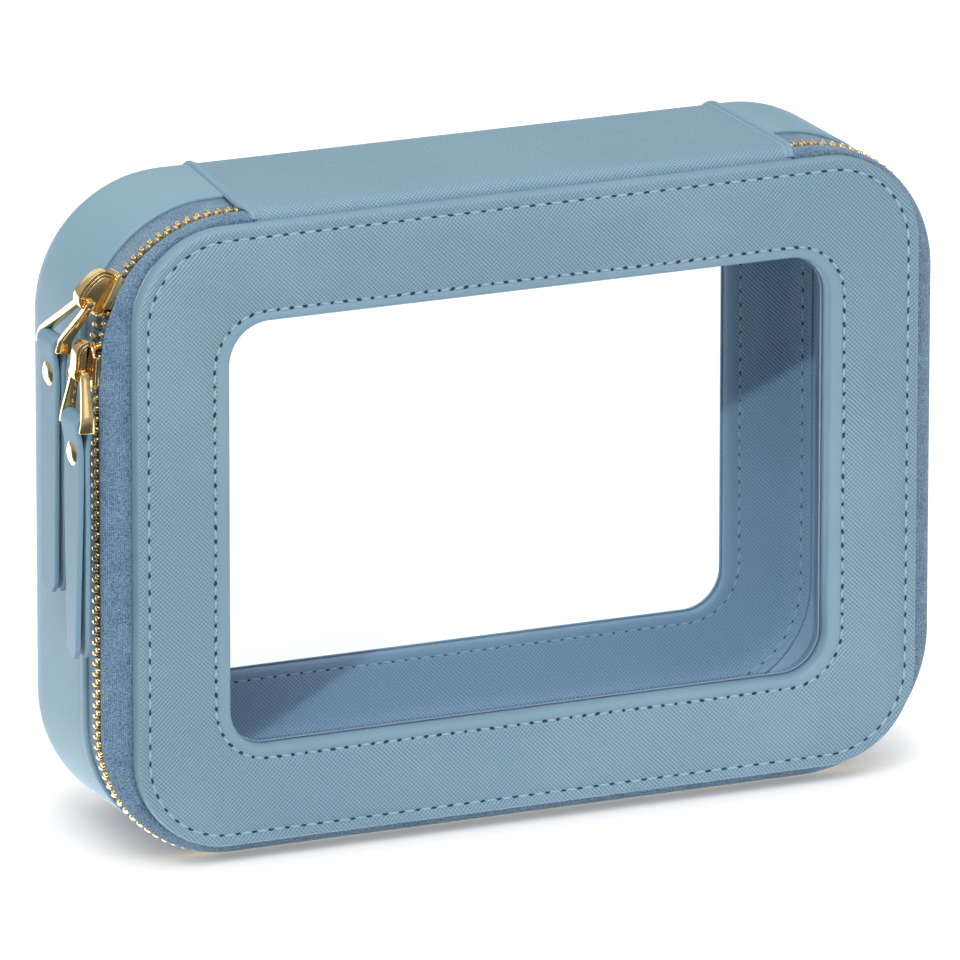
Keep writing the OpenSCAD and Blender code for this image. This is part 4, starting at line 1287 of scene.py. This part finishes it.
def frame_leg(top, bottom, bottom_d, side):
    """Straight from the crown, out to its side of the strap and on to a flat flared end."""
    top, bottom = Vector(top), Vector(bottom)
    end_d = bottom_d + side * SPREAD_END
    end = bottom + Vector((0, -1.5))
    stops = [(top + (top - end).normalized() * 1.0, ZIP_D + side * SPREAD_TOP, 0.8, 0.55),
             (top + (top - end).normalized() * 0.75, ZIP_D + side * SPREAD_TOP, 1.0, 0.75)]
    for t in (0.0, 0.12, 0.3, 0.5, 0.68, 0.8, 0.9, 0.985, 1.0):
        spread = min(1.0, t / 0.78)
        wide = 1.1 + 0.9 * t ** 1.6 if t < 0.99 else 1.8
        start_d = ZIP_D + side * SPREAD_TOP
        stops.append((top.lerp(end, t), start_d + (end_d - ZIP_D - side * SPREAD_TOP) * spread,
                      wide, 0.85 if t < 0.99 else 0.65))
    stations = []
    for k, (p, d, wide, thick) in enumerate(stops):
        a, b = stops[max(0, k - 1)], stops[min(len(stops) - 1, k + 1)]
        run = Vector((b[0][0] - a[0][0], b[1] - a[1], b[0][1] - a[0][1])).normalized()
        across = Vector((1, 0, 0)) - run * run.x
        across.normalize()
        stations.append((Vector((p[0], d, p[1])), across * wide, run.cross(across) * thick))
    return blade("leg", stations)


for name, (top, bottom_y, bottom_d) in PULLS.items():
    legs = [frame_leg(top, (PULL_X, bottom_y), bottom_d, side) for side in (-1, 1)]
    bars = [bar("top_bar", (top[0], ZIP_D - 3.6, top[1]), (top[0], ZIP_D + 3.6, top[1]), BAR_R),
            bar("strap_bar", (PULL_X, bottom_d - 6.4, bottom_y), (PULL_X, bottom_d + 6.4, bottom_y), BAR_R)]
    frame_piece = gather(f"pull_{name}", legs + bars)
    bevel(frame_piece, 0.18)
    frame_piece.data.transform(TO_PART)
    smooth(frame_piece, 40)
    dress(frame_piece, gold_plate, f"frame_{name}", "gold", (f"pull_frame_{name}",))
    mesh_report(frame_piece)

# %% [markdown]
# ## Straps, rivets and windows
# A strap is one strip of smooth leather folded over the frame's bar. Its two layers lie close at
# the rivet and part a little towards the free end, which is cut off at both corners. The windows
# are thin clear sheets with a slight hollow, held between leather and lining.

# %% Straps
STRAP_W, STRAP_L, STRAP_T, LOOP_R = 9.5, 60.0, 1.2, 2.25
RIVET_DROP, RIVET_R, RIVET_RISE = 7.4, 3.0, 0.8
STRAP_SHAPES = {"upper": (0.0, 2.0), "lower": (3.2, 9.0)}


def strap_path():
    """Outer face of the strip, from one layer's free end round the loop to the other's."""
    layer = [(-1.75, -STRAP_L), (-1.74, -STRAP_L + 0.9), (-1.72, -STRAP_L + 2.6), (-1.7, -54.0),
             (-1.66, -46.0), (-1.6, -36.0), (-1.52, -26.0), (-1.42, -17.0), (-1.36, -12.0), (-1.35, -8.7),
             (-1.38, -6.2), (-1.62, -3.9), (-2.0, -2.0), (-2.2, -0.8)]
    return layer + arc(0, 0, LOOP_R, 180, 0, 13) + [(-x, y) for x, y in reversed(layer)]


def strap(name, bar_y, bar_d, body, cut, twist):
    """cut is how much shorter than the longest this strap is; twist turns its free end, in degrees."""
    path = strap_path()

    def at(u, v):
        x, y = row_at(path, v)
        half = STRAP_W / 2 - max(0.0, min(2.5, 2.5 - (y + STRAP_L)))
        a = math.radians(twist) * ease(-y, 14, STRAP_L)
        off = half * (2 * u - 1)
        y = y * (1 - cut / STRAP_L) if y < -RIVET_DROP else y
        return (PULL_X + x * math.cos(a) + off * math.sin(a),
                bar_d + off * math.cos(a) - x * math.sin(a), bar_y + y)

    obj = strip(f"strap_{name}_leather", 10, len(path) - 1, at, size=(STRAP_W, 2 * STRAP_L + 6))
    clean(obj)
    thicken(obj, STRAP_T)
    bevel(obj, 0.00034, 3)
    smooth(obj, 40)
    dress(obj, strap_leather, body, "smooth_leather", (f"strap_{name}",))
    return obj


def rivet(name, bar_y, bar_d, body):
    """A low dome with a flat rim, a shank and a plain cap behind."""
    bpy.ops.object.select_all(action="DESELECT")
    bpy.ops.mesh.primitive_uv_sphere_add(segments=28, ring_count=14, radius=RIVET_R)
    head = named("head")
    for vertex in head.data.vertices:
        r = math.hypot(vertex.co.x, vertex.co.y) / RIVET_R
        rise = RIVET_RISE * (1 - r ** 2.6) if vertex.co.z > 0 else 0.12 * (1 - r)
        vertex.co.z = math.copysign(rise, vertex.co.z)
    shank = bar("shank", (0, 0, -2.7), (0, 0, 0.1), 1.4)
    bpy.ops.object.select_all(action="DESELECT")
    bpy.ops.mesh.primitive_cylinder_add(vertices=28, radius=2.4, depth=0.5, location=(0, 0, -2.95))
    cap = bevel(settle(named("cap")), 0.15)
    obj = gather(f"rivet_{name}", [head, shank, cap])
    matrix = Matrix(((-1, 0, 0, PULL_X - 1.35), (0, 1, 0, bar_d), (0, 0, 1, bar_y - RIVET_DROP),
                     (0, 0, 0, 1)))
    obj.data.transform(TURN_OUT)
    carry(obj, TO_PART @ matrix)
    smooth(obj, 50)
    return dress(obj, gold_plate, body, "gold", (f"strap_rivet_{name}",))


for name, (_, bar_y, bar_d) in PULLS.items():
    leather = strap(name, bar_y, bar_d, f"strap_{name}", *STRAP_SHAPES[name])
    mesh_report(leather, rivet(name, bar_y, bar_d, f"strap_{name}"))


# %% Windows
def window_sheet(name, node, depth, hollow, body):
    low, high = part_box(node)
    half_w, half_h = (high[0] - low[0]) * 500 - 0.05, (high[2] - low[2]) * 500 - 0.05

    def at(u, v):
        s, t = 2 * u - 1, 2 * v - 1
        wave = 0.75 + 0.25 * math.sin(2.3 * s + 1.1) * math.cos(1.7 * t)
        dip = hollow * (1 - s ** 4) * (1 - t ** 4) * wave
        return s * half_w, depth + dip, t * half_h + (low[2] + high[2]) * 500 - CASE_H / 2

    obj = skin(strip(name, 32, 24, at, size=(2 * half_w, 2 * half_h)), 0.25)
    dress(obj, clear_sheet, body, "clear", (node,))
    mesh_report(obj)


window_sheet("window_front", "front_window", 4.35, 0.35, "lid")
window_sheet("window_rear", "rear_window", 59.5, -0.3, "case")

# %% [markdown]
# ## Floor, hidden layers and the last measures
# The boards and the foam are inside the walls and keep the frame's own solids, with a card finish
# in case a gap shows them. The floor isn't part of the case.

# %% Hidden layers and floor
GLARE_FAR, GLARE_SLOPE = -0.1439, -0.956
for name in ("gusset_board", "rear_board", "front_board", "front_padding"):
    dress(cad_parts[name], card_board)
bpy.ops.object.select_all(action="DESELECT")
bpy.ops.mesh.primitive_plane_add(size=8, location=(0, 0, 0))
floor = named("floor")
floor.data.materials.append(floor_with_painted_shadow_and_glare())
floor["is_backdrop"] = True

# %% Sizes and finish
visual_box = [list(corner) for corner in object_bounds()]
for axis in range(3):
    past = [round(1000 * (visual_box[side][axis] - CAD_BOX[side][axis]), 2) for side in (0, 1)]
    print("XYZ"[axis], past)
